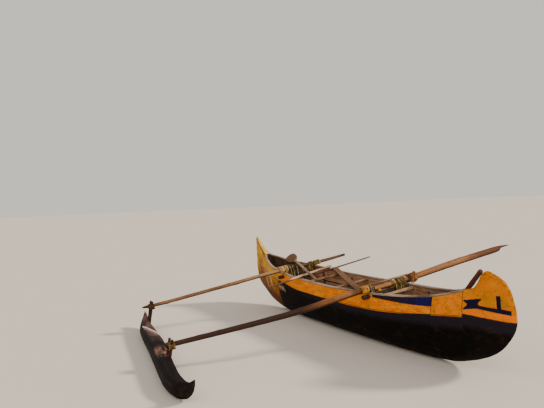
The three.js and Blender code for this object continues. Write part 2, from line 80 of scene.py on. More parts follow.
STATIONS = tuple(Station(*row) for row in (
    (-2.995, 0.010, 0.745, 0.610, 0.013, 0.007),
    (-2.965, 0.012, 0.905, 0.535, 0.026, 0.011),
    (-2.900, 0.016, 1.006, 0.445, 0.044, 0.020),
    (-2.780, 0.019, 1.070, 0.322, 0.076, 0.036),
    (-2.690, 0.021, 1.096, 0.255, 0.098, 0.048),
    (-2.640, 0.022, 1.072, 0.225, 0.110, 0.054),
    (-2.550, 0.024, 0.966, 0.180, 0.130, 0.064),
    (-2.470, 0.026, 0.900, 0.148, 0.148, 0.074),
    (-2.370, 0.032, 0.880, 0.112, 0.172, 0.086),
    (-2.000, 0.136, 0.800, 0.022, 0.250, 0.130),
    (-1.500, 0.235, 0.753, 0.000, 0.300, 0.190),
    (-0.940, 0.298, 0.732, 0.000, 0.330, 0.240),
    (0.000, 0.324, 0.719, 0.000, 0.340, 0.262),
    (0.980, 0.322, 0.741, 0.000, 0.336, 0.250),
    (1.440, 0.300, 0.768, 0.000, 0.318, 0.220),
    (2.000, 0.230, 0.807, 0.008, 0.262, 0.150),
    (2.400, 0.132, 0.873, 0.058, 0.190, 0.095),
    (2.650, 0.050, 0.945, 0.118, 0.140, 0.066),
    (2.850, 0.032, 1.088, 0.212, 0.098, 0.044),
    (2.985, 0.016, 1.224, 0.285, 0.066, 0.028),
    (3.060, 0.014, 1.030, 0.330, 0.046, 0.020),
    (3.130, 0.012, 0.760, 0.385, 0.026, 0.012),
    (3.165, 0.010, 0.600, 0.445, 0.014, 0.008),
))

# Height of the joint between the log and its topside planks: x, z
SEAM = (
    (-3.100, 0.612), (-2.360, 0.604), (-1.500, 0.550), (-0.900, 0.526), (0.000, 0.514),
    (0.900, 0.530), (1.700, 0.570), (2.600, 0.640), (3.300, 0.700),
)


def srgb(red: int, green: int, blue: int) -> Colour:
    """Turns an 8-bit screen colour into a linear one.

    Args:
        red: its red, from 0 to 255.
        green: its green.
        blue: its blue.

    Returns:
        Linear red, green and blue, and a full alpha.
    """
    def linear(value: int) -> float:
        """Linear light of one channel."""
        part = value / 255
        return part / 12.92 if part <= 0.04045 else ((part + 0.055) / 1.055) ** 2.4

    return (linear(red), linear(green), linear(blue), 1.0)


def through(xs: Sequence[float], values: Sequence[float], at: np.ndarray) -> np.ndarray:
    """Reads a smooth curve that passes through a table and doesn't overshoot it.

    Args:
        xs: the table's places, rising.
        values: the table's values.
        at: places to read.

    Returns:
        The curve's values at those places.
    """
    knots, heights = np.asarray(xs, float), np.asarray(values, float)
    place = np.clip(at, knots[0], knots[-1])
    i = np.clip(np.searchsorted(knots, place), 1, len(knots) - 1)
    chord = np.diff(heights) / np.diff(knots)
    padded = np.concatenate((chord[:1], chord, chord[-1:]))

    def ease(other: np.ndarray) -> np.ndarray:
        """Slope of the curve at one end of each place's span.

        Args:
            other: slope of the next chord at that end.

        Returns:
            The slope, 0 where the chords turn.
        """
        product = other * padded[i]
        total = np.where(product > 0, other + padded[i], 1.0)
        return np.where(product > 0, 2 * product / total, 0.0)

    span = knots[i] - knots[i - 1]
    u = (place - knots[i - 1]) / span
    start, end = ease(padded[i - 1]) * span, ease(padded[i + 1]) * span
    return (
        (2 * u**3 - 3 * u**2 + 1) * heights[i - 1] + (u**3 - 2 * u**2 + u) * start
        + (3 * u**2 - 2 * u**3) * heights[i] + (u**3 - u**2) * end
    )


def hull_place() -> Matrix:
    """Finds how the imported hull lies.

    Returns:
        Matrix from the hull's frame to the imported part's.
    """
    low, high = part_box("cross_beam_fore")
    middle = (low + high) / 2
    shift = Vector((middle.x - BEAM_X, middle.y - (BEAM_Z * math.sin(HEEL) - LOW_Y), 0))
    lean = Matrix.Translation((0, -LOW_Y, LIFT)) @ Matrix.Rotation(-HEEL, 4, "X")
    return Matrix.Translation(shift) @ lean


HULL_PLACE = hull_place()
SEAM_X, SEAM_Z = zip(*SEAM)


def seam(x: np.ndarray) -> np.ndarray:
    """Height of the joint between the log and the planks."""
    return through(SEAM_X, SEAM_Z, x)


def lines(column: str, x: np.ndarray) -> np.ndarray:
    """One column of the hull's lines at x."""
    return through([s.x for s in STATIONS], [getattr(s, column) for s in STATIONS], x)


class Surface(Enum):
    """Skins of the hull."""

    OUTSIDE = "outside"
    INSIDE = "inside"


@dataclass(frozen=True)
class HullForm:
    """The hull's outer skin and its hollow, as curves across each station."""

    topside: float = 0.028
    bottom: float = 0.045
    end_rise: float = 0.19
    hollow_aft: float = -2.33
    hollow_fore: float = 2.615
    flat: float = 1.5
    open_reach: float = 0.06
    belly_height: float = 0.42
    fine_steps: int = 128

    def curve(self, x: float, t: np.ndarray, surface: Surface) -> np.ndarray:
        """Points of the port half of a section, from the keel line (t = 0) to the sheer (t = 1).

        Args:
            x: station.
            t: places along the section.
            surface: which skin.

        Returns:
            An array of y and z.
        """
        half, sheer, keel, belly, bilge = (float(lines(c, x)) for c in Station._fields[1:])
        inset, floor, raised = 0.0, 0.0, 0.0
        if surface is Surface.INSIDE:
            ahead = (x - self.flat) / (self.hollow_fore - self.flat)
            behind = (x + self.flat) / (self.hollow_aft + self.flat)
            inset, raised = self.topside, self.open_reach
            floor = self.bottom + self.end_rise * max(ahead, behind, 0.0) ** 2
        low = keel + floor
        wide = [max(value - inset, 0.003) for value in (bilge, belly, half)]
        handles = np.array([
            (0, low), (wide[0], low), (wide[1], low + self.belly_height * (sheer - low)),
            (wide[2], sheer + raised),
        ])
        t = np.asarray(t)[:, None]
        weights = np.hstack(((1 - t) ** 3, 3 * t * (1 - t) ** 2, 3 * t**2 * (1 - t), t**3))
        return weights @ handles

    def between(self, x: float, low: float, high: float, count: int, surface: Surface) -> np.ndarray:
        """Points of a section between two heights, from the lower one up.

        Args:
            x: station.
            low: lower height.
            high: upper height.
            count: number of points.
            surface: which skin.

        Returns:
            An array of y and z.
        """
        fine = np.linspace(0, 1, self.fine_steps + 1)
        heights = self.curve(x, fine, surface)[:, 1]
        heights += np.arange(len(fine)) * 1e-9
        first, last = np.interp([low, high], heights, fine)
        return self.curve(x, np.linspace(first, last, count), surface)


HULL = HullForm()


def unit(vectors: np.ndarray) -> np.ndarray:
    """The vectors at length one."""
    return vectors / np.maximum(np.linalg.norm(vectors, axis=-1, keepdims=True), 1e-9)


def roughen(points: np.ndarray, out: np.ndarray, depth: float, size: float, seed: float) -> np.ndarray:
    """Moves points inwards by a smooth random amount, as an adze leaves wood.

    Args:
        points: points to move.
        out: outward direction at each point.
        depth: largest move in metres.
        size: size of the dents in metres.
        seed: offset into the noise.

    Returns:
        The moved points.
    """
    flat = points.reshape(-1, 3)
    moved = flat.copy()
    for k, (point, direction) in enumerate(zip(flat, out.reshape(-1, 3))):
        broad = noise.noise(Vector(point) / size + Vector((seed, 0, 0)))
        small = noise.noise(Vector(point) / size * 4.3 + Vector((0, seed, 0)))
        moved[k] -= direction * depth * (0.5 + 0.38 * broad + 0.12 * small)
    return moved.reshape(points.shape)


def show(name: str, data: bpy.types.ID) -> bpy.types.Object:
    """Puts a mesh, lamp or camera into the scene as an object.

    Args:
        name: the object's name.
        data: what it holds.

    Returns:
        The object.
    """
    made = bpy.data.objects.new(name, data)
    bpy.context.scene.collection.objects.link(made)
    return made


@dataclass
class Draft:
    """Points, faces and point values of one mesh in the making, in the hull's frame."""

    name: str
    points: list[np.ndarray] = field(default_factory=list)
    faces: list[tuple[int, ...]] = field(default_factory=list)
    values: dict[str, list[np.ndarray]] = field(default_factory=dict)

    def loft(self, rings: np.ndarray, **values: np.ndarray) -> None:
        """Adds a closed skin over a row of rings.

        Args:
            rings: array of rings, points and coordinates.
            values: for each point of each ring, values or vectors by name.
        """
        rows, count, _ = rings.shape
        base = sum(len(part) for part in self.points)
        self.points.append(rings.reshape(-1, 3))
        for name, array in values.items():
            self.values.setdefault(name, []).append(array.reshape(rows * count, -1))
        volume = 0.0
        middle = rings.reshape(-1, 3).mean(0)
        skin = []
        for i in range(rows - 1):
            for j in range(count):
                a, b = i * count + j, i * count + (j + 1) % count
                skin.append((a, b, b + count, a + count))
        flat = rings.reshape(-1, 3) - middle
        for a, b, c, d in skin:
            volume += flat[a] @ np.cross(flat[b], flat[c]) + flat[a] @ np.cross(flat[c], flat[d])
        skin.append(tuple(range(count - 1, -1, -1)))
        skin.append(tuple((rows - 1) * count + j for j in range(count)))
        turn = 1 if volume > 0 else -1
        self.faces += [tuple(base + k for k in face[::turn]) for face in skin]

    def build(
        self, material: bpy.types.Material, place: Matrix = HULL_PLACE, sharp: float = 40
    ) -> bpy.types.Object:
        """Makes the object, leaned and set in place, with everything below the floor pressed flat.

        Args:
            material: its finish.
            place: matrix from this draft's frame to the part's.
            sharp: angle in degrees over which an edge shows.

        Returns:
            The new object, at the origin and unrotated.
        """
        points = np.vstack(self.points)
        turned = points @ np.array(place.to_3x3()).T + np.array(place.translation)
        turned[:, 2] = np.maximum(turned[:, 2], 0.0)
        mesh = bpy.data.meshes.new(self.name)
        mesh.from_pydata(turned.tolist(), [], self.faces)
        for name, parts in self.values.items():
            array = np.vstack(parts)
            kind, key = ("FLOAT_VECTOR", "vector") if array.shape[1] == 3 else ("FLOAT", "value")
            layer = mesh.attributes.new(name, kind, "POINT")
            layer.data.foreach_set(key, array.astype(np.float32).ravel())
        mesh.materials.append(material)
        mesh.shade_smooth()
        mesh.set_sharp_from_angle(angle=math.radians(sharp))
        return show(self.name, mesh)


def settle(piece: bpy.types.Object, slot: str, *nodes: str) -> None:
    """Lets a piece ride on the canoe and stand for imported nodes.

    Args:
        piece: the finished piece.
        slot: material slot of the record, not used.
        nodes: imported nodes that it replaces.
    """
    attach(piece, "root")
    if nodes:
        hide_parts(*nodes)
    log.info("%s: %d faces for %s", piece.name, len(piece.data.polygons), ", ".join(nodes) or "trim")


class Tree:
    """A node tree in the making, for a material or for Geometry Nodes."""

    def __init__(self, tree: bpy.types.NodeTree) -> None:
        """Takes the tree that grows."""
        self.tree = tree

    def add(self, kind: str, inputs: dict, **settings: object) -> bpy.types.Node:
        """Adds a node.

        Args:
            kind: the node's type.
            inputs: constants, values, sockets or nodes (for their first output), by input name or number.
            settings: the node's own properties.

        Returns:
            The node.
        """
        node = self.tree.nodes.new(kind)
        for key, value in settings.items():
            setattr(node, key, value)
        for key, value in inputs.items():
            if isinstance(value, Value):
                value = value.socket
            elif isinstance(value, bpy.types.Node):
                value = value.outputs[0]
            if isinstance(value, bpy.types.NodeSocket):
                self.tree.links.new(value, node.inputs[key])
            else:
                node.inputs[key].default_value = value
        return node

    def value(self, kind: str, inputs: dict, output: int | str = 0, **settings: object) -> "Value":
        """Adds a node and keeps one of its outputs as a value."""
        return Value(self, self.add(kind, inputs, **settings).outputs[output])


@dataclass(frozen=True)
class Value:
    """A number, vector or colour inside a tree, which takes part in sums by plain signs."""

    tree: Tree
    socket: bpy.types.NodeSocket

    def sums(self, operation: str, other: object = 0.0) -> "Value":
        """Does a sum on this number and another."""
        return self.tree.value("ShaderNodeMath", {0: self, 1: other}, operation=operation)

    def __add__(self, other: object) -> "Value":
        """The sum of two numbers."""
        return self.sums("ADD", other)

    def __sub__(self, other: object) -> "Value":
        """The difference of two numbers."""
        return self.sums("SUBTRACT", other)

    def __mul__(self, other: object) -> "Value":
        """The product of two numbers."""
        return self.sums("MULTIPLY", other)

    def __or__(self, other: object) -> "Value":
        """The larger of two numbers."""
        return self.sums("MAXIMUM", other)

    def __abs__(self) -> "Value":
        """This number without its sign."""
        return self.sums("ABSOLUTE")

    def parts(self) -> list["Value"]:
        """The three coordinates of this vector."""
        split = self.tree.add("ShaderNodeSeparateXYZ", {0: self})
        return [Value(self.tree, output) for output in split.outputs]

    def ramp(
        self, low: float, high: float, start: float = 0.0, end: float = 1.0, kind: str = "LINEAR"
    ) -> "Value":
        """Goes from start where this is low to end where it is high, and stays level beyond them."""
        inputs = {"Value": self, "From Min": low, "From Max": high, "To Min": start, "To Max": end}
        return self.tree.value("ShaderNodeMapRange", inputs, interpolation_type=kind)

    def step(self, low: float, high: float) -> "Value":
        """Rises smoothly from 0 at low to 1 at high, or falls where low is above high."""
        ends = (0.0, 1.0) if low < high else (1.0, 0.0)
        return self.ramp(min(low, high), max(low, high), *ends, kind="SMOOTHSTEP")

    def within(self, low: float, high: float, soft: float = 0.004) -> "Value":
        """Is 1 between low and high and 0 beyond them, with soft edges."""
        return self.step(low - soft, low + soft) * self.step(high + soft, high - soft)

    def clouds(
        self, scale: float | Point, detail: float = 4.0, rough: float = 0.6, twist: float = 0.0
    ) -> "Value":
        """Noise between about 0.2 and 0.8 over this vector, which is scaled evenly or by axis.

        Args:
            scale: how fine it is.
            detail: number of finer layers.
            rough: strength of those.
            twist: how far it is warped.

        Returns:
            The noise.
        """
        place = self
        if isinstance(scale, tuple):
            place = self.tree.add("ShaderNodeVectorMath", {0: self, 1: scale}, operation="MULTIPLY")
            scale = 1.0
        inputs = {"Vector": place, "Scale": scale, "Detail": detail, "Roughness": rough, "Distortion": twist}
        return self.tree.value("ShaderNodeTexNoise", inputs)

    def mix(self, first: object, second: object) -> "Value":
        """Mixes two colours: the first where this is 0 and the second where it is 1."""
        return self.tree.value("ShaderNodeMix", {0: self, 6: first, 7: second}, 2, data_type="RGBA")

    def laid(self, tone: object, cover: "Value") -> "Value":
        """This colour under another tone, which shows as far as its cover goes from 0 to 1."""
        return cover.mix(self, tone)


class Shader(Tree):
    """A material in the making."""

    def __init__(self, name: str) -> None:
        """Starts an empty material.

        Args:
            name: its name.
        """
        self.material = bpy.data.materials.new(name)
        self.material.use_nodes = True
        super().__init__(self.material.node_tree)
        self.tree.nodes.clear()

    def read(self, name: str, vector: bool = False) -> Value:
        """Reads an attribute of the mesh, as a number or as a vector."""
        return self.value("ShaderNodeAttribute", {}, "Vector" if vector else "Fac", attribute_name=name)

    def place(self) -> Value:
        """The place in the object."""
        return self.value("ShaderNodeTexCoord", {}, "Object")

    def finish(
        self, colour: Value, rough: object, height: Value | None, depth: float = 0.002, shine: float = 0.3
    ) -> bpy.types.Material:
        """Ends the material.

        Args:
            colour: base colour.
            rough: roughness.
            height: bump height from 0 to 1, if any.
            depth: depth in metres that the height's range stands for.
            shine: strength of its mirror-like light.

        Returns:
            The finished material.
        """
        inputs = {"Base Color": colour, "Roughness": rough, "Specular IOR Level": shine}
        if height is not None:
            bump = {"Height": height, "Strength": 0.9, "Distance": depth}
            inputs["Normal"] = self.add("ShaderNodeBump", bump)
        surface = self.add("ShaderNodeBsdfPrincipled", inputs)
        self.add("ShaderNodeOutputMaterial", {0: surface})
        return self.material


@dataclass(frozen=True)
class Wash:
    """A tone that grows along a piece, from one share of its length to another."""

    colour: Colour
    start: float
    full: float
    strength: float = 0.8


@dataclass(frozen=True)
class Wood:
    """Bare or worn wood whose grain follows the piece, with painted shade on its underside."""

    name: str
    dark: Colour
    light: Colour
    bleached: Colour
    bleach: float = 0.45
    rough: float = 0.8
    depth: float = 0.002
    bark: float = 0.0
    stain_and_shade: Colour = srgb(52, 36, 26)
    stained: float = 0.5
    # How far painted shade darkens the underside, in the stain's tone
    under: float = 0.75
    washes: tuple[Wash, ...] = ()
    crack: Colour = srgb(30, 20, 14)

    def material(self) -> bpy.types.Material:
        """Builds the material from the piece's grain coordinates.

        Returns:
            The material.
        """
        shader = Shader(self.name)
        grain = shader.read("grain", vector=True)
        streaks = grain.clouds((1.6, 45, 45), detail=6, rough=0.65, twist=0.4)
        fibres = grain.clouds((9, 330, 330), detail=3, rough=0.7)
        broad = grain.clouds((2.2, 9, 9), detail=5)
        cracks = grain.clouds((2.5, 95, 95), detail=2, rough=0.5, twist=0.8).step(0.36, 0.30)
        colour = (streaks * 0.7 + fibres * 0.3).step(0.34, 0.66).mix(self.dark, self.light)
        colour = colour.laid(self.bleached, broad.step(0.42, 0.62) * self.bleach)
        colour = colour.laid(self.stain_and_shade, broad.step(0.46, 0.30) * self.stained)
        place = shader.read("place") + (broad - 0.5) * 0.08
        for wash in self.washes:
            colour = colour.laid(wash.colour, place.step(wash.start, wash.full) * wash.strength)
        # Painted shade: the underside darkens to the stain's tone
        colour = colour.laid(self.stain_and_shade, shader.read("side").step(0.05, -0.75) * self.under)
        colour = colour.laid(self.crack, cracks * 0.75)
        height = streaks * 0.5 + fibres * 0.25
        if self.bark:
            scales = grain.clouds((14, 60, 60), detail=5, rough=0.7, twist=1.2)
            colour = colour.laid(self.stain_and_shade, scales.step(0.47, 0.60) * self.bark)
            height = height + scales * 0.6
        rough = (fibres - 0.5) * 0.2 + self.rough
        return shader.finish(colour, rough, height - cracks * 0.5, self.depth, 0.2)


class Spot(NamedTuple):
    """Where a point lies on the hull, as values of the paint's material.

    The brushed places wander a little, so painted edges look drawn by hand. Raked is the place along the
    hull as the aft edge of the blue panel slants. Over and under are heights from the seam and the sheer,
    and block is 1 on the painted panel just before the stern block.
    """

    hull: Value
    x: Value
    y: Value
    z: Value
    brushed_x: Value
    brushed_z: Value
    raked: Value
    over: Value
    under: Value
    block: Value


@dataclass(frozen=True)
class Ornament:
    """Plain painted shapes on the stern block: a spool, a line along its foot and an upright."""

    spool_x: float = -2.475
    spool_z: float = 0.744
    spool_slope: float = 0.169
    spool_half: float = 0.049
    # Half-length at the spool's waist, fore and aft of its middle, and how far its corners flare
    waist: tuple[float, float] = (0.068, 0.094)
    flare: float = 0.046
    line_ends: tuple[float, float] = (-2.955, -2.500)
    line_z: float = 0.852
    line_slope: float = 0.0487
    # Half-widths of the line at its fore and aft ends
    line_half: tuple[float, float] = (0.018, 0.025)
    upright_x: tuple[float, float] = (-2.851, -2.798)
    upright_z: tuple[float, float] = (0.700, 0.868)
    crisp: float = 0.003

    def cover(self, x: Value, z: Value) -> Value:
        """Finds the painted shapes.

        Args:
            x: place along the hull.
            z: height.

        Returns:
            1 on the shapes and 0 beside them.
        """
        along = x - self.spool_x
        level = abs(z + along * self.spool_slope - self.spool_z)
        reach = along.ramp(0.04, -0.04, *self.waist) + level.ramp(0.008, 0.036, 0.0, self.flare)
        spool = (abs(along) - reach).step(0.004, -0.004)
        spool = spool * level.step(self.spool_half + self.crisp, self.spool_half - self.crisp)
        off = abs(z - x * self.line_slope - self.line_z) - x.ramp(-2.56, -2.95, *self.line_half)
        line = off.step(self.crisp, -self.crisp) * x.within(*self.line_ends)
        return spool | line | x.within(*self.upright_x) * z.within(*self.upright_z)


@dataclass(frozen=True)
class HollowWood:
    """Bare pinkish brown wood of the hollow, darkened with painted shade towards the bilge and the bow."""

    dark: Colour = srgb(118, 80, 54)
    light: Colour = srgb(188, 142, 102)
    pale: Colour = srgb(196, 162, 126)
    bilge: Colour = srgb(64, 46, 35)
    stern: Colour = srgb(126, 98, 66)
    fore: Colour = srgb(52, 35, 24)

    def colour(self, spot: Spot) -> Value:
        """Mixes the wood's colour.

        Args:
            spot: where a point lies.

        Returns:
            The colour.
        """
        streaks = spot.hull.clouds((1.5, 40, 40), detail=6, rough=0.65, twist=0.3)
        broad = spot.hull.clouds((3, 9, 9), detail=5)
        colour = streaks.step(0.35, 0.65).mix(self.dark, self.light)
        colour = colour.laid(self.pale, broad.step(0.48, 0.66) * 0.6)
        # Painted shade: darker deep in the hollow
        colour = colour.laid(self.bilge, spot.z.step(0.36, 0.08) * (broad * 0.6 + 0.35))
        colour = colour.laid(self.stern, spot.x.ramp(-1.0, -1.9, 0.0, 0.8) * broad.step(0.24, 0.50))
        # Painted shade: darker towards the bow
        return colour.laid(self.fore, spot.x.ramp(1.0, 2.3, 0.0, 0.86) * broad.step(0.1, 0.4))


class Mark(NamedTuple):
    """A worn place: its ends along the hull, its foot and head, softness, strength and tone."""

    along: tuple[float, float]
    up: tuple[float, float]
    soft: float
    strength: float
    tone: Colour


@dataclass(frozen=True)
class Bow:
    """Ochre bow, worn to brown wood along the stem and in patches, with painted shade on its lower part and
    down the stem's edge.
    """

    ochre: Colour = srgb(178, 122, 22)
    yellow: Colour = srgb(214, 156, 44)
    pale: Colour = srgb(232, 188, 92)
    bare: Colour = srgb(118, 80, 58)
    brown: Colour = srgb(130, 68, 14)
    foot: Colour = srgb(62, 34, 10)
    rim: Colour = srgb(84, 56, 18)
    crown_dark: Colour = srgb(206, 160, 62)
    crown_pale: Colour = srgb(236, 200, 112)
    crown_edge: Colour = srgb(30, 18, 10)
    # The ochre begins at a slanted edge: forward shift by height, and the edge's soft ends at the keel
    slant: float = 0.362
    edge: tuple[float, float] = (1.915, 2.010)
    marks: tuple[Mark, ...] = (
        Mark((2.15, 2.31), (0.42, 0.62), 0.040, 0.70, srgb(222, 176, 92)),
        Mark((2.45, 2.49), (0.30, 0.60), 0.014, 0.85, srgb(66, 38, 20)),
        Mark((2.51, 2.61), (0.32, 0.64), 0.024, 0.80, srgb(186, 150, 132)),
        Mark((2.72, 2.95), (0.28, 0.82), 0.060, 0.80, srgb(96, 66, 58)),
    )

    def cover(self, spot: Spot) -> Value:
        """Is 1 forward of the slanted edge where the ochre begins."""
        return (spot.brushed_x + spot.brushed_z * self.slant).step(*self.edge)

    def colour(self, spot: Spot) -> Value:
        """Mixes the ochre, with dark lines along the upper edges and down the stem; the line down the stem
        and the darker lower bow are painted shade.

        Args:
            spot: where a point lies.

        Returns:
            The colour.
        """
        broad = spot.hull.clouds((4, 9, 7), detail=5, rough=0.65)
        streak = spot.hull.clouds((26, 30, 3.2), detail=5, rough=0.65, twist=0.5)
        colour = broad.step(0.36, 0.6).mix(self.ochre, self.yellow)
        colour = colour.laid(self.bare, streak.step(0.52, 0.66) * 0.65)
        colour = colour.laid(self.pale, streak.step(0.47, 0.36) * broad.step(0.56, 0.44) * 0.7)
        # Painted shade: brown, then darker towards the keel, on the lower bow
        colour = colour.laid(self.brown, spot.over.step(0.08, -0.12) * broad.step(0.22, 0.50) * 0.88)
        colour = colour.laid(self.foot, spot.over.step(-0.16, -0.36) * 0.75)
        loose = spot.hull.clouds(8, detail=5, rough=0.7) - 0.5
        u, v = spot.brushed_x + loose * 0.16, spot.brushed_z + loose * 0.40
        scratched = streak.step(0.40, 0.58) * 0.55 + 0.45
        for mark in self.marks:
            cover = u.within(*mark.along, mark.soft) * v.within(*mark.up, mark.soft)
            colour = colour.laid(mark.tone, cover * scratched * mark.strength)
        colour = colour.laid(self.rim, spot.under.step(0.050, 0.022) * spot.x.step(2.60, 2.68) * 0.8)
        # Painted shade: a dark line down the stem's edge
        return colour.laid(self.rim, abs(spot.y).step(0.024, 0.012) * spot.x.step(2.86, 2.98) * 0.7)

    def crown(self, spot: Spot, skin: Value, coat: Value) -> Value:
        """Gives a coat the bow's sunned top face and a dark line along its edge.

        Args:
            spot: where a point lies.
            skin: which skin it is on.
            coat: the coat's colour.

        Returns:
            The colour.
        """
        streak = spot.hull.clouds((14, 60, 9), detail=5, rough=0.65)
        pale = streak.step(0.40, 0.62).mix(self.crown_dark, self.crown_pale)
        fore = spot.x.step(2.60, 2.63)
        coat = coat.laid(pale, skin.step(1.45, 1.60) * fore * 0.9)
        return coat.laid(self.crown_edge, skin.step(1.12, 1.28) * skin.step(1.55, 1.40) * fore * 0.8)


@dataclass(frozen=True)
class HullCoat:
    """Worn paint outside the hull and bare wood inside it."""

    orange: Colour = srgb(226, 114, 0)
    amber: Colour = srgb(238, 148, 2)
    rust: Colour = srgb(206, 84, 4)
    olive: Colour = srgb(160, 112, 10)
    fin: Colour = srgb(206, 116, 0)
    crest: Colour = srgb(120, 86, 22)
    bright: Colour = srgb(242, 124, 4)
    bare: Colour = srgb(118, 80, 58)
    navy: Colour = srgb(22, 18, 84)
    ink: Colour = srgb(17, 18, 44)
    faded: Colour = srgb(36, 28, 28)
    strip_navy: Colour = srgb(32, 28, 38)
    tar: Colour = srgb(8, 6, 4)
    scuff: Colour = srgb(38, 30, 24)
    smudged: Colour = srgb(178, 146, 124)
    dust: Colour = srgb(150, 126, 96)
    grime: Colour = srgb(62, 36, 12)
    crack: Colour = srgb(30, 18, 10)
    # Blue panel: its ends, the slant of its aft edge about one height, and its depths at the ends
    wedge_fore: float = -1.02
    wedge_aft: float = -1.966
    wedge_rake: float = 0.16
    rake_height: float = 0.70
    wedge_thin: float = 0.052
    wedge_deep: float = 0.127
    block_aft: float = -2.348
    block_drop: float = 0.012
    # The paint's foot against the seam: sag amidships, rise at the stern and at the bow
    sag: float = 0.016
    stern_raise: float = 0.026
    bow_raise: float = 0.028
    crisp: float = 0.003
    ornament: Ornament = Ornament()
    bow: Bow = Bow()
    hollow: HollowWood = HollowWood()

    def material(self) -> bpy.types.Material:
        """Builds the material from the hull's own coordinates, kept on each piece.

        Returns:
            The material.
        """
        shader = Shader("hull_coat")
        spot = self.spot(shader)
        foot = self.foot(spot)
        coat = self.band(spot).laid(self.bottom(spot, foot), foot.step(0.002, -0.003))
        coat = self.smudge(spot, coat.laid(self.bow.colour(spot), self.bow.cover(spot)))
        worn, coat = self.wear(spot, foot, coat)
        skin = shader.read("outer")
        outer = skin.step(0.45, 0.55)
        colour = self.bow.crown(spot, skin, outer.mix(self.hollow.colour(spot), coat))
        grain = spot.hull.clouds((3, 70, 70), detail=6, rough=0.7, twist=0.3)
        brush = spot.hull.clouds((12, 240, 240), detail=3)
        height = grain * 0.6 + brush * 0.2 - worn * outer * 0.25
        return shader.finish(colour, grain * 0.35 + 0.6, height, depth=0.0025, shine=0.065)

    def spot(self, shader: Shader) -> Spot:
        """Reads where a point lies on the hull.

        Args:
            shader: the material in the making.

        Returns:
            The point's places and heights.
        """
        hull = shader.read("hull", vector=True)
        x, y, z = hull.parts()
        ragged = hull.clouds((40, 90, 90), rough=0.7) - 0.5
        drift = (hull.clouds(9) - 0.5) * 0.016 + ragged * 0.010
        raked = x + (z - self.rake_height) * self.wedge_rake
        block = x.step(self.block_aft - self.crisp, self.block_aft + self.crisp)
        block = block * raked.step(self.wedge_aft + self.crisp, self.wedge_aft - self.crisp)
        over, under = shader.read("seam") + drift * 0.7, shader.read("under") + drift * 0.5
        return Spot(hull, x, y, z, x + drift, z + drift, raked, over, under, block)

    def foot(self, spot: Spot) -> Value:
        """Finds the height over the foot of the paint.

        Args:
            spot: where a point lies.

        Returns:
            The height in metres.
        """
        low = spot.x.step(-1.9, -1.2) * spot.x.step(0.15, -0.5) * self.sag
        stern = spot.x.ramp(-2.90, self.block_aft, 0.0, self.stern_raise)
        stern = stern * spot.x.step(self.block_aft, self.block_aft - 0.004)
        raised = stern + spot.x.ramp(1.0, 1.42, 0.0, self.bow_raise)
        return spot.over + low + spot.block * self.block_drop - raised

    def band(self, spot: Spot) -> Value:
        """Mixes the orange topsides with their dark blue panel and the ornament.

        Args:
            spot: where a point lies.

        Returns:
            The colour.
        """
        x, z = spot.brushed_x, spot.brushed_z
        mottle = spot.hull.clouds((5, 16, 16), detail=5, rough=0.65)
        fine = spot.hull.clouds((22, 60, 60))
        blotch = spot.hull.clouds((15, 15, 15))
        colour = mottle.step(0.38, 0.62).mix(self.orange, self.amber)
        colour = colour.laid(self.rust, fine.step(0.50, 0.66) * 0.5)
        colour = colour.laid(self.olive, blotch.step(0.55, 0.70) * 0.5)
        colour = colour.laid(self.rust, spot.block * mottle.step(0.40, 0.62) * 0.45)
        colour = colour.laid(self.olive, spot.block * blotch.step(0.48, 0.62) * 0.55)
        colour = colour.laid(self.fin, x.step(self.block_aft + 0.01, self.block_aft - 0.01) * 0.7)
        loose = (blotch - 0.5) * 0.16
        u, v = x + loose, z + loose
        middle = u.within(-2.78, -2.62, 0.06) * v.within(0.74, 0.90, 0.06)
        corner = u.within(-2.92, -2.84, 0.05) * v.within(0.73, 0.86, 0.05)
        colour = colour.laid(self.olive, middle * 0.45).laid(self.olive, corner * 0.85)
        crest = spot.under.step(0.10, 0.0) * x.step(-2.40, -2.50) * fine.step(0.40, 0.62)
        colour = colour.laid(self.crest, crest * 0.9)
        below = x.within(-3.0, self.block_aft, 0.012) * z.within(0.50, 0.69, 0.012)
        colour = colour.laid(self.bright, below * 0.6)
        depth = x.ramp(self.wedge_fore, self.wedge_aft, self.wedge_thin, self.wedge_deep)
        wedge = (spot.under - depth).step(self.crisp, -self.crisp)
        wedge = wedge * x.step(self.wedge_fore + 0.01, self.wedge_fore - 0.01)
        wedge = wedge * spot.raked.step(self.wedge_aft - self.crisp, self.wedge_aft + self.crisp)
        blue = (mottle.step(0.42, 0.60) * 0.6).mix(self.navy, self.ink)
        colour = colour.laid(blue.laid(self.faded, x.step(-1.98, -1.25)), wedge)
        return colour.laid(self.ink, self.ornament.cover(x, z))

    def bottom(self, spot: Spot, foot: Value) -> Value:
        """Mixes the tarred bottom, with a faded dark blue strip along its edge that widens to the stern.

        Args:
            spot: where a point lies.
            foot: height over the foot of the paint.

        Returns:
            The colour.
        """
        x = spot.brushed_x
        strip = (foot + x.ramp(-0.9, -2.6, 0.080, 0.125)).step(-0.045, 0.045) * x.ramp(1.2, 0.0, 0.15, 0.85)
        rubbed = spot.hull.clouds((2.4, 30, 42), detail=6, rough=0.7, twist=0.5)
        low = spot.z.step(0.34, 0.02) * 0.55 + 0.25
        colour = strip.mix(self.tar, self.strip_navy).laid(self.scuff, rubbed.step(0.53, 0.68) * low)
        dry = spot.hull.clouds((16, 20, 26), detail=5, rough=0.75)
        return colour.laid(self.dust, dry.step(0.48, 0.66) * spot.z.step(0.12, 0.0) * 0.5)

    def smudge(self, spot: Spot, coat: Value) -> Value:
        """Gives a coat the pale rubbed place at the front corner of the tar.

        Args:
            spot: where a point lies.
            coat: the coat's colour.

        Returns:
            The colour.
        """
        blur = spot.hull.clouds(11, detail=6, rough=0.75) - 0.5
        u, v = spot.brushed_x + blur * 0.34, spot.brushed_z + blur * 0.14
        corner = u.within(1.51, 1.76, 0.03) * v.within(0.455, 0.520, 0.03)
        return coat.laid(self.smudged, corner * 0.75)

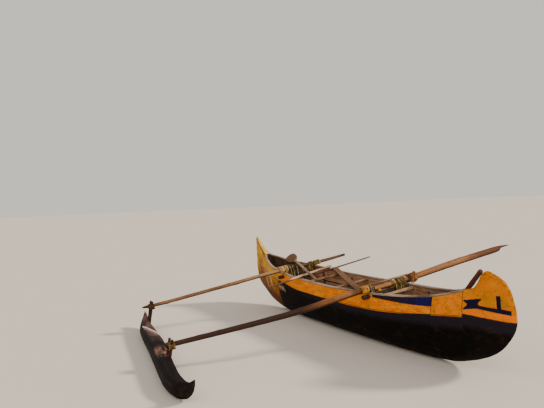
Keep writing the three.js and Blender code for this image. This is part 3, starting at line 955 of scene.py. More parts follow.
    def wear(self, spot: Spot, foot: Value, coat: Value) -> tuple[Value, Value]:
        """Chips, cracks, joints and grime over the paint.

        Args:
            spot: where a point lies.
            foot: height over the foot of the paint.
            coat: colour of the whole coat.

        Returns:
            How worn each place is, and the worn colour.
        """
        cracks = spot.hull.clouds((2.2, 85, 85), detail=3, rough=0.5, twist=0.6).step(0.345, 0.315)
        painted = foot.step(-0.01, 0.01)
        flakes = spot.hull.clouds((18, 70, 55), detail=6, rough=0.75, twist=0.6)
        chips = flakes.step(0.635, 0.665) * (painted * 0.45 + 0.3)
        grime = spot.hull.clouds((7, 14, 11), detail=6, rough=0.7, twist=0.4)
        colour = coat.laid(self.bare, chips).laid(self.grime, grime.step(0.52, 0.74) * 0.45)
        joint = abs(foot).step(0.008, 0.001) * 0.8
        for along, place in ((spot.raked, self.wedge_aft), (spot.x, self.block_aft)):
            joint = joint | abs(along - place).step(0.006, 0.002) * painted * 0.85
        return chips | cracks | joint, colour.laid(self.crack, joint).laid(self.crack, cracks * 0.7)


class Streak(NamedTuple):
    """A line across the float's top: its shift along it, half-width, strength and tone."""

    shift: float
    wide: float
    strength: float
    tone: Colour


@dataclass(frozen=True)
class FloatCoat:
    """Nearly black old wood, worn to brown on the front half of the float's top, with painted shade where the
    top turns outboard and painted light in its pink patch and pale streaks.
    """

    black: Colour = srgb(11, 8, 7)
    brown: Colour = srgb(40, 28, 22)
    worn: Colour = srgb(100, 72, 62)
    pink: Colour = srgb(164, 116, 98)
    crack: Colour = srgb(8, 6, 5)
    # The pink patch is worn wood brightened with painted light
    pink_ends: tuple[float, float] = (-0.66, -0.24)
    # Pale streaks on the top, worn wood with a painted highlight, slanted across it from this place on the
    # middle line
    ridge: float = 0.60
    ridge_slope: float = 4.0
    streaks: tuple[Streak, ...] = (
        Streak(0.13, 0.120, 0.6, srgb(150, 134, 122)), Streak(0.0, 0.080, 0.9, srgb(222, 208, 190)),
    )

    def material(self) -> bpy.types.Material:
        """Builds the material from places along, across and up the float.

        Returns:
            The material.
        """
        shader = Shader("float_wood")
        place = shader.read("grain", vector=True)
        s, y, z = place.parts()
        across = shader.read("across")
        grain = place.clouds((1.8, 34, 34), detail=6, rough=0.7, twist=0.4)
        fibres = place.clouds((10, 300, 300), detail=3, rough=0.7)
        broad = place.clouds((4, 12, 12), detail=5, rough=0.65)
        drift = place.clouds(7, detail=5, rough=0.7) - 0.5
        colour = grain.step(0.40, 0.68).mix(self.black, self.brown)
        # The worn tones fade out on the top's outboard shoulder, which keeps painted shade
        top = z.step(0.150, 0.178) * (across + drift * 0.5).step(0.62, 0.40).ramp(0.0, 1.0, 0.15, 1.0)
        front = (s + drift).step(-0.1, 0.5) * top
        colour = colour.laid(self.worn, front * (broad.step(0.36, 0.62) * 0.75 + 0.25))
        # Pink worn wood with painted light, only on the top's inboard part
        pink = (s + drift * 0.45).within(*self.pink_ends, 0.12)
        pink = pink * z.step(0.120, 0.170) * across.step(0.72, 0.50)
        colour = colour.laid(self.pink, pink * (grain + broad).step(0.80, 1.10) * 0.7)
        # Pale streaks: worn wood with a painted highlight on the lit top
        slanted = s - self.ridge - y * self.ridge_slope + drift * 0.08
        lit = z.step(0.160, 0.176) * across.step(0.66, 0.58)
        for shift, wide, strength, tone in self.streaks:
            colour = colour.laid(tone, abs(slanted + shift).step(wide, 0.4 * wide) * lit * strength)
        cracks = place.clouds((2.5, 80, 80), detail=2, rough=0.5, twist=0.8).step(0.36, 0.31)
        height = grain * 0.6 + fibres * 0.25 - cracks * 0.5
        return shader.finish(colour.laid(self.crack, cracks * 0.8), 0.72, height, depth=0.004, shine=0.09)


@dataclass(frozen=True)
class Rope:
    """Laid rope, old and dusty."""

    name: str
    light: Colour
    dark: Colour
    dirt: Colour = srgb(72, 50, 24)

    def material(self) -> bpy.types.Material:
        """Builds the material from the strand's own coordinates.

        Returns:
            The material.
        """
        shader = Shader(self.name)
        along = shader.value("ShaderNodeCombineXYZ", {0: shader.read("along")})
        fuzz = shader.place().clouds(900, detail=3, rough=0.7)
        dusty = shader.place().clouds(46)
        colour = along.clouds(9, detail=3).step(0.36, 0.64).mix(self.dark, self.light)
        colour = colour.laid(self.dark, fuzz.step(0.42, 0.62) * 0.3)
        colour = colour.laid(self.dirt, dusty.step(0.50, 0.70) * 0.75)
        return shader.finish(colour, 0.75, fuzz, depth=0.0008, shine=0.25)


@dataclass(frozen=True)
class Nail:
    """Rusty iron, brighter in places."""

    name: str
    rust: Colour = srgb(84, 46, 22)
    dark: Colour = srgb(34, 21, 14)
    fresh: Colour = srgb(122, 66, 26)

    def material(self) -> bpy.types.Material:
        """Builds the material from the piece's place.

        Returns:
            The material.
        """
        shader = Shader(self.name)
        pits = shader.place().clouds(420, rough=0.7)
        broad = shader.place().clouds(9, detail=3)
        colour = pits.step(0.38, 0.62).mix(self.dark, self.rust)
        colour = colour.laid(self.fresh, broad.step(0.50, 0.64) * 0.5)
        return shader.finish(colour, 0.7, pits, depth=0.0006, shine=0.3)


class Finish(Enum):
    """Finishes of the canoe's pieces."""

    HULL = HullCoat()
    # Each wood's under sets how far painted shade darkens its underside
    RAIL = Wood("rail_wood", srgb(92, 74, 58), srgb(162, 138, 116), srgb(192, 170, 148), 0.6, under=0.3)
    INSIDE = Wood("inner_wood", srgb(96, 66, 46), srgb(160, 118, 88), srgb(184, 148, 118), 0.4)
    PALE = Wood("pale_wood", srgb(140, 100, 72), srgb(208, 164, 128), srgb(232, 196, 160), 0.55)
    BEAM = Wood("beam_wood", srgb(20, 14, 9), srgb(52, 38, 27), srgb(84, 66, 50), 0.3)
    BOOM_AFT = Wood(
        "boom_aft_wood", srgb(92, 50, 22), srgb(160, 100, 52), srgb(186, 134, 84), 0.35, 0.62, 0.003, 0.35,
        stain_and_shade=srgb(44, 20, 7), under=0.92,
        washes=(
            # The first three washes darken the boom towards the float and at its float end: painted shade
            # where the hull's shadow falls
            Wash(srgb(104, 62, 30), 0.47, 0.43, 0.6), Wash(srgb(36, 21, 11), 0.40, 0.33, 0.9),
            Wash(srgb(64, 40, 24), 0.09, 0.03, 0.6), Wash(srgb(68, 44, 22), 0.475, 0.500, 0.85),
            Wash(srgb(164, 110, 68), 0.535, 0.550, 0.8), Wash(srgb(92, 48, 20), 0.83, 0.90, 0.85),
            Wash(srgb(52, 24, 10), 0.955, 0.985, 0.9),
        ),
    )
    BOOM_FORE = Wood(
        "boom_fore_wood", srgb(70, 42, 22), srgb(124, 80, 46), srgb(150, 108, 70), 0.45, 0.70, 0.002, 0.3,
        stain_and_shade=srgb(44, 22, 9), under=0.92,
        washes=(
            Wash(srgb(188, 146, 100), 0.34, 0.58, 0.55), Wash(srgb(76, 52, 32), 0.665, 0.700, 0.85),
            Wash(srgb(44, 28, 18), 0.965, 0.985, 0.9), Wash(srgb(46, 30, 20), 0.050, 0.030, 0.85),
        ),
    )
    POLE = Wood("pale_pole_wood", srgb(98, 70, 48), srgb(176, 136, 100), srgb(200, 166, 130), 0.5)
    CROSS_POLE = Wood(
        "cross_pole_wood", srgb(108, 76, 50), srgb(184, 144, 104), srgb(212, 180, 142), 0.55, under=0.95,
        # Darker brown port end: partly a browner tone, partly painted shade
        washes=(Wash(srgb(98, 56, 22), 0.38, 0.28, 0.9),),
    )
    STAKE = Wood(
        "stake_wood", srgb(44, 18, 11), srgb(98, 46, 27), srgb(112, 68, 46), 0.3, 0.75, 0.003, 0.3,
        stain_and_shade=srgb(30, 14, 9),
    )
    PADDLE = Wood(
        "paddle_wood", srgb(92, 68, 48), srgb(156, 124, 94), srgb(190, 164, 134), 0.4, under=0.9,
        washes=(Wash(srgb(104, 70, 42), 0.66, 0.74, 0.9),),
    )
    BOARD = Wood("board_wood", srgb(72, 46, 30), srgb(126, 86, 58), srgb(152, 112, 80), 0.3)
    FLOAT = FloatCoat()
    ROPE = Rope("yellow_rope", srgb(232, 170, 56), srgb(150, 92, 24))
    PALE_ROPE = Rope("pale_rope", srgb(238, 208, 132), srgb(150, 112, 50))
    STRAND = Rope("pale_strand", srgb(206, 184, 142), srgb(128, 104, 68))
    STAKE_ROPE = Rope("stake_rope", srgb(140, 102, 54), srgb(58, 38, 20))
    CAULK = Rope("caulking_fibre", srgb(58, 40, 24), srgb(24, 15, 9))
    NAIL = Nail("nail_iron")
    OLIVE_ROPE = Rope("olive_rope", srgb(190, 158, 72), srgb(84, 64, 26))
    BROWN_ROPE = Rope("brown_rope", srgb(196, 130, 64), srgb(92, 50, 22))
    DARK_ROPE = Rope("old_rope_and_shade", srgb(84, 64, 34), srgb(28, 18, 10))


@cache
def material_of(finish: Finish) -> bpy.types.Material:
    """The material of a finish, which is made once."""
    return finish.value.material()


def hull_values(rings: np.ndarray, outer: np.ndarray) -> dict[str, np.ndarray]:
    """Values that the hull's paint reads: place, height over the seam, depth under the sheer, and skin.

    Args:
        rings: array of rings, points and coordinates.
        outer: 0 on the hollow's skin, 1 on the outer skin and 2 on the top face of an end block.

    Returns:
        The values by name.
    """
    x, z = rings[..., 0], rings[..., 2]
    return {
        "hull": rings,
        "seam": z - seam(x),
        "under": lines("sheer", x) - z,
        "outer": np.broadcast_to(outer, x.shape).copy(),
    }


@dataclass
class Hull:
    """The dugout log, its topside planks and the blocks at its ends."""

    spacing: float = 0.026
    end_spacing: float = 0.009
    across: int = 26
    gap: float = 0.0012
    rail_height: float = 0.024
    edge: float = 0.005
    dents: float = 0.0035
    dent_size: float = 0.22
    skin_depth: float = 0.0008
    least_depth: float = 0.010
    # Beyond these places the rings stand closer
    fine_aft: float = -2.300
    fine_fore: float = 2.580
    # Joints between the planks and the end blocks
    stern_scarf: float = -2.350
    aft_scarf: float = -2.000
    mid_scarf: float = 0.330
    bow_scarf: float = 2.300

    def stations(self, start: float, end: float) -> np.ndarray:
        """Places of the rings, closer at the hull's ends.

        Args:
            start: aft end.
            end: forward end.

        Returns:
            The places, rising.
        """
        marks = [start]
        while marks[-1] < end:
            fine = marks[-1] < self.fine_aft or marks[-1] > self.fine_fore
            marks.append(marks[-1] + (self.end_spacing if fine else self.spacing))
        marks[-1] = end
        if len(marks) > 2 and marks[-1] - marks[-2] < 0.002:
            del marks[-2]
        return np.array(marks)

    def outwards(self, rings: np.ndarray) -> np.ndarray:
        """Directions away from the middle line of each ring's solid, within its station.

        Args:
            rings: array of rings, points and coordinates.

        Returns:
            A unit vector for each point.
        """
        ahead = np.roll(rings, -1, axis=1) - np.roll(rings, 1, axis=1)
        out = np.stack((np.zeros(ahead.shape[:2]), ahead[..., 2], -ahead[..., 1]), axis=-1)
        after = np.roll(rings, -1, axis=1)
        area = (rings[..., 1] * after[..., 2] - after[..., 1] * rings[..., 2]).sum(1)
        return unit(out) * np.sign(area)[:, None, None]

    def add(
        self, draft: Draft, rings: list[np.ndarray], xs: np.ndarray, outer: np.ndarray, seed: float
    ) -> None:
        """Roughens rings of y and z and adds their loft to a draft.

        Args:
            draft: the mesh in the making.
            rings: the rings.
            xs: their stations.
            outer: which skin each point is on.
            seed: offset into the noise.
        """
        solid = np.array([np.column_stack((np.full(len(r), x), r)) for x, r in zip(xs, rings)])
        moved = roughen(solid, self.outwards(solid), self.dents, self.dent_size, seed)
        draft.loft(moved, **hull_values(solid, outer))

    def wall(self, draft: Draft, xs: np.ndarray, side: int, seed: float) -> None:
        """Adds the planking of one side between the log and the rail.

        Args:
            draft: the mesh in the making.
            xs: its stations.
            side: 1 to port, -1 to starboard.
            seed: offset into the noise.
        """
        count = self.across
        rings = []
        for x in xs:
            low = float(seam(x)) + self.gap / 2
            high = float(lines("sheer", x)) - self.rail_height
            outside = HULL.between(x, low, high, count, Surface.OUTSIDE)
            inside = HULL.between(x, low, high, count, Surface.INSIDE)[::-1]
            outside[[0, -1]] += (-0.3 * self.edge, 0)
            ring = np.vstack((outside, inside))
            ring[:, 0] *= side
            rings.append(ring)
        outer = np.r_[np.ones(count), np.zeros(count)]
        self.add(draft, rings, xs, outer, seed)

    def solid_end(self, draft: Draft, xs: np.ndarray, seed: float, bare_start: bool = False) -> None:
        """Adds a solid block over the log, from the seam to the sheer.

        Args:
            draft: the mesh in the making.
            xs: places of its rings.
            seed: offset into the noise.
            bare_start: whether its first face is bare wood.
        """
        count = self.across
        rings = []
        for x in xs:
            low, high = float(seam(x)) + self.gap / 2, float(lines("sheer", x))
            port = HULL.between(x, low, high, count, Surface.OUTSIDE)
            tip = port[-1].copy()
            port[-1, 1] -= 0.35 * tip[0]
            crown = np.array([[0.62 * tip[0], high - 0.06 * tip[0]], [0.0, high]])
            half = np.vstack((port, crown))
            mirror = half[-2::-1] * [-1, 1]
            rings.append(np.vstack((half, mirror)))
        outer = np.ones((len(xs), len(rings[0])))
        outer[:, count:count + 3] = 2.0
        if bare_start:
            outer[0] = 0.0
        self.add(draft, rings, xs, outer, seed)

    def log(self) -> None:
        """The dugout log, hollow between its ends."""
        aft, fore = HULL.hollow_aft, HULL.hollow_fore
        first, last = STATIONS[0].x, STATIONS[-1].x
        hollow = self.stations(aft + 0.004, fore - 0.004)
        xs = np.concatenate((self.stations(first, aft), hollow, self.stations(fore, last)))
        count = self.across + 10
        rings = []
        for x in xs:
            high = float(seam(x)) - self.gap / 2
            keel = float(lines("keel", x))
            high = max(high, keel + self.least_depth)
            port = HULL.between(x, keel, high, count, Surface.OUTSIDE)
            if aft < x < fore:
                inner = HULL.between(x, 0.0, high, count, Surface.INSIDE)
            else:
                inner = np.column_stack((np.linspace(0, port[-1, 0] * 0.9, count), np.full(count, high)))
            half = np.vstack((port, inner[::-1]))
            mirror = half[-2:0:-1] * [-1, 1]
            rings.append(np.vstack((half, mirror)))
        outer = np.r_[np.ones(count), np.zeros(2 * count - 2), np.ones(count)]
        draft = Draft("log_skin")
        self.add(draft, rings, xs, outer[: len(rings[0])], 3.1)
        lengths = (f"log_{part}" for part in ("stern", "aft", "fore", "bow"))
        settle(draft.build(material_of(Finish.HULL)), "hull_log", *lengths)

    def planks(self) -> None:
        """The topside planks of both sides."""
        # Planks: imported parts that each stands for, start, end
        runs = (
            (("stern",), self.stern_scarf, self.aft_scarf),
            (("aft", "waist"), self.aft_scarf, self.mid_scarf),
            (("fore", "bow"), self.mid_scarf, self.bow_scarf),
        )
        for side, sign in (("port", 1), ("starboard", -1)):
            for k, (parts, start, end) in enumerate(runs):
                draft = Draft(f"plank_{side}_{parts[0]}_skin")
                self.wall(draft, self.stations(start + self.gap, end - self.gap), sign, 7.7 * sign + k)
                nodes = [f"plank_{side}_{part}" for part in parts]
                settle(draft.build(material_of(Finish.HULL)), "painted_plank", *nodes)

    def blocks(self) -> None:
        """The fin-shaped stern block and the raised bow block."""
        stern = Draft("stern_block_skin")
        self.solid_end(stern, self.stations(STATIONS[0].x, self.stern_scarf), 11.0)
        settle(stern.build(material_of(Finish.HULL)), "painted_plank", "stern_block")
        bow = Draft("bow_block_skin")
        for sign in (1, -1):
            self.wall(bow, self.stations(self.bow_scarf + self.gap, HULL.hollow_fore), sign, 13.0 * sign)
        xs = self.stations(HULL.hollow_fore + self.skin_depth, STATIONS[-1].x)
        self.solid_end(bow, np.r_[HULL.hollow_fore, xs], 12.0, True)
        settle(bow.build(material_of(Finish.HULL)), "bow_wood", "bow_block")

    def build(self) -> None:
        """Makes the whole hull."""
        self.log()
        self.planks()
        self.blocks()


@dataclass(frozen=True)
class Cut:
    """How a timber is shaped, from round (2) to square, with its mesh, dents, knots and ends."""

    square: float = 2.0
    spacing: float = 0.02
    sides: int = 20
    dents: float = 0.002
    dent_size: float = 0.07
    knots: int = 0
    end_round: float = 0.006
    # Widths of the first two rings at each end, as shares, and the most that they may take off
    end_shares: tuple[float, float] = (0.80, 0.93)
    end_trim: float = 0.012
    up: Point = (0.0, 0.0, 1.0)


@dataclass
class Timber:
    """A pole, bar or board that follows a path, with half-widths and half-thicknesses along it."""

    name: str
    path: Sequence[Point]
    wide: Sequence[float]
    thick: Sequence[float] | None = None
    cut: Cut = Cut()
    seed: int = 1

    def section(self) -> tuple[np.ndarray, np.ndarray, np.ndarray]:
        """Points round a section of size one.

        Returns:
            Their angles, and places across and up.
        """
        angle = np.linspace(0, math.tau, self.cut.sides, endpoint=False)
        power = 2 / self.cut.square
        across = np.sign(np.cos(angle)) * np.abs(np.cos(angle)) ** power
        above = np.sign(np.sin(angle)) * np.abs(np.sin(angle)) ** power
        return angle, across, above

    def add_to(self, draft: Draft) -> None:
        """Adds this timber to a draft.

        Args:
            draft: the mesh in the making.
        """
        cut = self.cut
        points = np.array(self.path, float)
        marks = np.r_[0, np.cumsum(np.linalg.norm(np.diff(points, axis=0), axis=1))]
        length = marks[-1]
        count = max(int(length / cut.spacing), 3)
        first = 0.35 * cut.end_round
        inner = np.linspace(cut.end_round, length - cut.end_round, count)
        s = np.r_[0, first, inner, length - first, length]
        centre = np.column_stack([through(marks, points[:, k], s) for k in range(3)])
        wide = through(marks, self.wide, s)
        thick = through(marks, self.thick or self.wide, s)
        ends = np.array([*cut.end_shares, *[1.0] * count, *cut.end_shares[::-1]])
        ahead = unit(np.gradient(centre, s, axis=0))
        across = unit(np.cross(ahead, np.array(cut.up)))
        above = np.cross(across, ahead)
        angle, a, b = self.section()
        trim_a = np.maximum(wide * ends, wide - cut.end_trim)
        trim_b = np.maximum(thick * ends, thick - cut.end_trim)
        offset = (across[:, None, :] * (a[None, :, None] * trim_a[:, None, None])
                  + above[:, None, :] * (b[None, :, None] * trim_b[:, None, None]))
        out = unit(offset)
        grain = np.empty_like(offset)
        grain[..., 0] = s[:, None]
        grain[..., 1] = a[None, :] * wide[:, None]
        grain[..., 2] = b[None, :] * thick[:, None]
        grain += self.seed * 1.7
        swell = self.knot_swell(s, angle, length)
        dents = roughen(grain, out, cut.dents, cut.dent_size, self.seed) - grain
        rings = centre[:, None, :] + offset + dents + out * swell[..., None]
        place = np.repeat(s[:, None] / length, cut.sides, axis=1)
        side = np.repeat(b[None, :], len(s), axis=0)
        draft.loft(rings, grain=grain, place=place, side=side)

    def knot_swell(self, s: np.ndarray, angle: np.ndarray, length: float) -> np.ndarray:
        """Finds how far branch knots stand out from the pole.

        Args:
            s: places along it.
            angle: angles round it.
            length: its length.

        Returns:
            The height at each place and angle.
        """
        chance = random.Random(self.seed)
        swell = np.zeros((len(s), len(angle)))
        for _ in range(self.cut.knots):
            place, turn = chance.uniform(0.06, 0.94) * length, chance.uniform(0, math.tau)
            size, height = chance.uniform(0.02, 0.045), chance.uniform(0.002, 0.005)
            near = np.exp(-(((s - place) / size) ** 2))[:, None]
            facing = np.exp(3.0 * (np.cos(angle - turn) - 1))[None, :]
            swell += height * near * facing
        return swell

    def build(self, finish: Finish, slot: str, *nodes: str) -> None:
        """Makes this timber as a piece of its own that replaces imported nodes.

        Args:
            finish: its finish.
            slot: material slot of the record.
            nodes: those nodes.
        """
        draft = Draft(self.name)
        self.add_to(draft)
        settle(draft.build(material_of(finish), sharp=55), slot, *nodes)


# Booms: x, y, z and radius, from the float to the outboard end
BOOM_FORE = (
    (1.640, 2.552, 0.700, 0.010), (1.600, 2.520, 0.706, 0.018), (1.545, 2.470, 0.714, 0.024),
    (1.496, 2.150, 0.727, 0.027), (1.462, 1.300, 0.764, 0.029), (1.440, 0.330, 0.800, 0.030),
    (1.440, -0.330, 0.800, 0.028), (1.436, -0.870, 0.818, 0.022),
)
BOOM_AFT = (
    (-0.589, 2.802, 0.650, 0.027), (-0.602, 2.750, 0.653, 0.030), (-0.760, 1.980, 0.680, 0.034),
    (-0.900, 1.240, 0.716, 0.038), (-0.934, 0.820, 0.747, 0.041), (-0.944, 0.330, 0.772, 0.038),
    (-0.948, 0.262, 0.766, 0.032), (-0.950, 0.200, 0.753, 0.032), (-0.955, 0.000, 0.760, 0.033),
    (-0.958, -0.200, 0.767, 0.035), (-0.965, -0.330, 0.773, 0.038), (-1.060, -0.980, 0.842, 0.045),
    (-1.110, -1.640, 0.884, 0.042),
)
# Outboard end of the aft boom, cut away from below: x, y, z, half-width and half-thickness
BOOM_AFT_CUT = (
    (-1.118, -1.716, 0.890, 0.041, 0.040), (-1.124, -1.762, 0.908, 0.036, 0.020),
    (-1.145, -1.900, 0.910, 0.012, 0.006),
)


@dataclass
class Fittings:
    """Rails, thwarts, ribs and cross beams."""

    rail_wide: float = 0.034
    rail_thick: float = 0.024
    rail_proud: float = 0.004
    rail_cut: Cut = Cut(5.0, 0.03, 20, 0.0022, 0.10)
    bar_cut: Cut = Cut(4.5, 0.03, 20, 0.003, 0.08)
    beam_cut: Cut = Cut(5.0, 0.03, 20, 0.003, 0.08)
    beam_halves: tuple[float, float] = (0.032, 0.025)
    beam_overhang: float = 0.090
    rib_stations: tuple[float, ...] = (-1.450, -0.560, 0.360, 1.180, 1.780)
    rib_wide: float = 0.036
    rib_deep: float = 0.024
    rib_below: float = 0.060
    rib_cut: Cut = Cut(4.5, 0.02, 16, 0.002, 0.06, up=(1.0, 0.0, 0.0))
    # Thwarts: name, station, height, width, thickness
    thwarts: tuple = (
        ("thwart_bow", 2.060, 0.738, 0.060, 0.034), ("thwart_fore", 0.705, 0.676, 0.046, 0.034),
        ("thwart_mid", -0.045, 0.672, 0.046, 0.034), ("thwart_aft", -1.105, 0.684, 0.050, 0.034),
        ("thwart_stern", -1.780, 0.700, 0.120, 0.028),
    )
    # Cross beams: name, station, height
    beams: tuple = (("cross_beam_fore", 1.445, 0.695), ("cross_beam_aft", -0.950, 0.680))

    def rails(self) -> None:
        """A squared strip along each gunwale."""
        xs = np.arange(HULL.hollow_aft, HULL.hollow_fore + 0.02, 0.05)
        xs[-1] = HULL.hollow_fore
        for side, sign in (("port", 1), ("starboard", -1)):
            outside = lines("half", xs) + self.rail_proud
            inside = np.maximum(outside - self.rail_wide, 0.0006)
            middle, half = (outside + inside) / 2, (outside - inside) / 2
            path = np.column_stack((xs, sign * middle, lines("sheer", xs) - self.rail_thick / 2))
            thick = [self.rail_thick / 2] * len(xs)
            timber = Timber(f"rail_{side}_wood", path.tolist(), half.tolist(), thick, self.rail_cut, 5 + sign)
            nodes = [f"rail_{side}_{part}" for part in ("aft", "mid", "fore")]
            timber.build(Finish.RAIL, "rail_wood", *nodes)

    def bar(self, name: str, x: float, z: float, wide: float, thick: float) -> None:
        """A thwart from plank to plank.

        Args:
            name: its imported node.
            x: station.
            z: height.
            wide: width.
            thick: thickness.
        """
        reach = float(HULL.between(x, z - thick / 2, z + thick / 2, 3, Surface.INSIDE)[0, 0])
        path = [(x, -reach, z), (x + 0.004, 0, z), (x, reach, z)]
        seed = int(abs(x) * 100) + 3
        timber = Timber(f"{name}_wood", path, [wide / 2] * 3, [thick / 2] * 3, self.bar_cut, seed)
        timber.build(Finish.PALE if name == "thwart_aft" else Finish.INSIDE, "inner_wood", name)

    def cross_beams(self) -> None:
        """Squared beams through the planks, under the booms."""
        for name, x, z in self.beams:
            reach = float(lines("half", x)) + self.beam_overhang
            path = [(x, -reach, z), (x, 0, z), (x, reach, z)]
            half_wide, half_thick = self.beam_halves
            timber = Timber(f"{name}_wood", path, [half_wide] * 3, [half_thick] * 3, self.beam_cut, 21)
            timber.build(Finish.BEAM, "weathered_wood", name)

    def ribs(self) -> None:
        """Bent ribs on the inside of the hull."""
        for k, x in enumerate(self.rib_stations):
            high = float(lines("sheer", x)) - self.rib_below
            skin = HULL.between(x, 0, high, 26, Surface.INSIDE)
            run = np.gradient(skin, axis=0)
            normal = unit(np.column_stack((-run[:, 1], run[:, 0])))
            middle = skin + normal * self.rib_deep / 2
            half = [(x, y, z) for y, z in middle]
            path = [(x, -y, z) for _, y, z in half[:0:-1]] + half
            deep, wide = [self.rib_deep / 2] * len(path), [self.rib_wide / 2] * len(path)
            timber = Timber(f"rib_{k + 1}_wood", path, deep, wide, self.rib_cut, 31 + k)
            timber.build(Finish.INSIDE, "inner_wood", f"rib_{k + 1}")

    def build(self) -> None:
        """Makes all the fittings."""
        self.rails()
        for thwart in self.thwarts:
            self.bar(*thwart)
        self.cross_beams()
        self.ribs()


def read_pole(table: Sequence[tuple], y: float) -> tuple[float, float, float]:
    """Centre x, z and radius of a boom where it crosses y.

    Args:
        table: rows of x, y, z and radius, falling in y.
        y: place across the canoe.

    Returns:
        x, z and radius there.
    """
    rows = np.array(table[::-1])
    return tuple(float(np.interp(y, rows[:, 1], rows[:, k])) for k in (0, 2, 3))


class Growth(Tree):
    """A Geometry Nodes tree in the making: from a guide mesh, named numbers and a material to a piece."""

    def __init__(self, name: str, *numbers: str) -> None:
        """Starts a tree with its named inputs.

        Args:
            name: its name.
            numbers: names of its number inputs.
        """
        super().__init__(bpy.data.node_groups.new(name, "GeometryNodeTree"))
        face = self.tree.interface
        face.new_socket("Guide", in_out="INPUT", socket_type="NodeSocketGeometry")
        for number in numbers:
            face.new_socket(number, in_out="INPUT", socket_type="NodeSocketFloat")
        face.new_socket("Material", in_out="INPUT", socket_type="NodeSocketMaterial")
        face.new_socket("Piece", in_out="OUTPUT", socket_type="NodeSocketGeometry")
        self.given = self.tree.nodes.new("NodeGroupInput").outputs

    def finish(self, geometry: bpy.types.Node) -> bpy.types.NodeTree:
        """Ends the tree: makes what it holds real and sets its material.

        Args:
            geometry: node that ends the shape.

        Returns:
            The tree.
        """
        real = self.add("GeometryNodeRealizeInstances", {"Geometry": geometry})
        done = self.add("GeometryNodeSetMaterial", {"Geometry": real, "Material": self.given["Material"]})
        self.add("NodeGroupOutput", {"Piece": done})
        return self.tree


def grow(
    name: str, guide: bpy.types.Mesh, tree: bpy.types.NodeTree, values: dict[str, object]
) -> bpy.types.Object:
    """Runs a Geometry Nodes tree on a guide mesh and keeps what it makes as a plain mesh object.

    Args:
        name: the piece's name.
        guide: mesh that the tree starts from.
        tree: the tree.
        values: its inputs by name.

    Returns:
        The piece.
    """
    holder = show(guide.name, guide)
    modifier = holder.modifiers.new(tree.name, "NODES")
    modifier.node_group = tree
    for item in tree.interface.items_tree:
        if item.item_type == "SOCKET" and item.in_out == "INPUT" and item.name in values:
            modifier[item.identifier] = values[item.name]
    bpy.context.view_layer.update()
    evaluated = holder.evaluated_get(bpy.context.evaluated_depsgraph_get())
    mesh = bpy.data.meshes.new_from_object(evaluated)
    mesh.name = name
    holder.modifiers.clear()
    bpy.data.objects.remove(holder)
    return show(name, mesh)


@dataclass(frozen=True)
class LaidRope:
    """Geometry Nodes rope along every line of a mesh, with a lobed section that turns as it goes."""

    lobes: int = 3
    profile_points: int = 9
    depth: float = 0.14

    def build(self) -> bpy.types.NodeTree:
        """Builds the tree.

        Returns:
            The tree.
        """
        tree = Growth("laid_rope", "Radius", "Lay", "Spacing")
        given = tree.given
        curve = tree.add("GeometryNodeMeshToCurve", {"Mesh": given["Guide"]})
        steps = {"Curve": curve, "Length": given["Spacing"]}
        even = tree.add("GeometryNodeResampleCurve", steps, mode="LENGTH")
        length = tree.value("GeometryNodeSplineParameter", {}, "Length")
        tilt = length * given["Lay"] * math.tau
        turned = tree.add("GeometryNodeSetCurveTilt", {"Curve": even, "Tilt": tilt})
        kept = {"Geometry": turned, "Name": "along", "Value": length}
        marked = tree.add("GeometryNodeStoreNamedAttribute", kept, data_type="FLOAT")
        sizes = {"Resolution": self.profile_points, "Radius": given["Radius"]}
        ring = tree.add("GeometryNodeCurvePrimitiveCircle", sizes)
        phase = tree.value("GeometryNodeInputIndex", {}) * (math.tau * self.lobes / self.profile_points)
        size = phase.sums("COSINE") * self.depth + (1 - self.depth / 2)
        spot = tree.add("GeometryNodeInputPosition", {})
        lobed = tree.add("ShaderNodeVectorMath", {0: spot, "Scale": size}, operation="SCALE")
        profile = tree.add("GeometryNodeSetPosition", {"Geometry": ring, "Position": lobed})
        swept = {"Curve": marked, "Profile Curve": profile, "Fill Caps": True}
        body = tree.add("GeometryNodeCurveToMesh", swept)
        return tree.finish(tree.add("GeometryNodeSetShadeSmooth", {"Geometry": body}))


@dataclass(frozen=True)
class PegHeads:
    """Geometry Nodes heads, low and domed, on every point of a mesh and facing the point's own way."""

    segments: int = 10
    rings: int = 6
    dome: float = 0.45
    uneven: float = 0.25
    seed: int = 4

    def build(self) -> bpy.types.NodeTree:
        """Builds the tree.

        Returns:
            The tree.
        """
        tree = Growth("peg_heads", "Radius")
        points = tree.add("GeometryNodeMeshToPoints", {"Mesh": tree.given["Guide"]})
        sizes = {"Segments": self.segments, "Rings": self.rings, "Radius": tree.given["Radius"]}
        ball = tree.add("GeometryNodeMeshUVSphere", sizes)
        smooth = tree.add("GeometryNodeSetShadeSmooth", {"Geometry": ball})
        head = tree.add("GeometryNodeTransform", {"Geometry": smooth, "Scale": (1.0, 1.0, self.dome)})
        name = {"Name": "out"}
        out = tree.value("GeometryNodeInputNamedAttribute", name, "Attribute", data_type="FLOAT_VECTOR")
        turn = tree.add("FunctionNodeAlignRotationToVector", {"Vector": out}, axis="Z")
        spread = {2: 1 - self.uneven, 3: 1 + self.uneven, "Seed": self.seed}
        size = tree.value("FunctionNodeRandomValue", spread, 1, data_type="FLOAT")
        inputs = {"Points": points, "Instance": head, "Rotation": turn, "Scale": size}
        return tree.finish(tree.add("GeometryNodeInstanceOnPoints", inputs))


ROPE_TREE = LaidRope().build()
PEG_TREE = PegHeads().build()


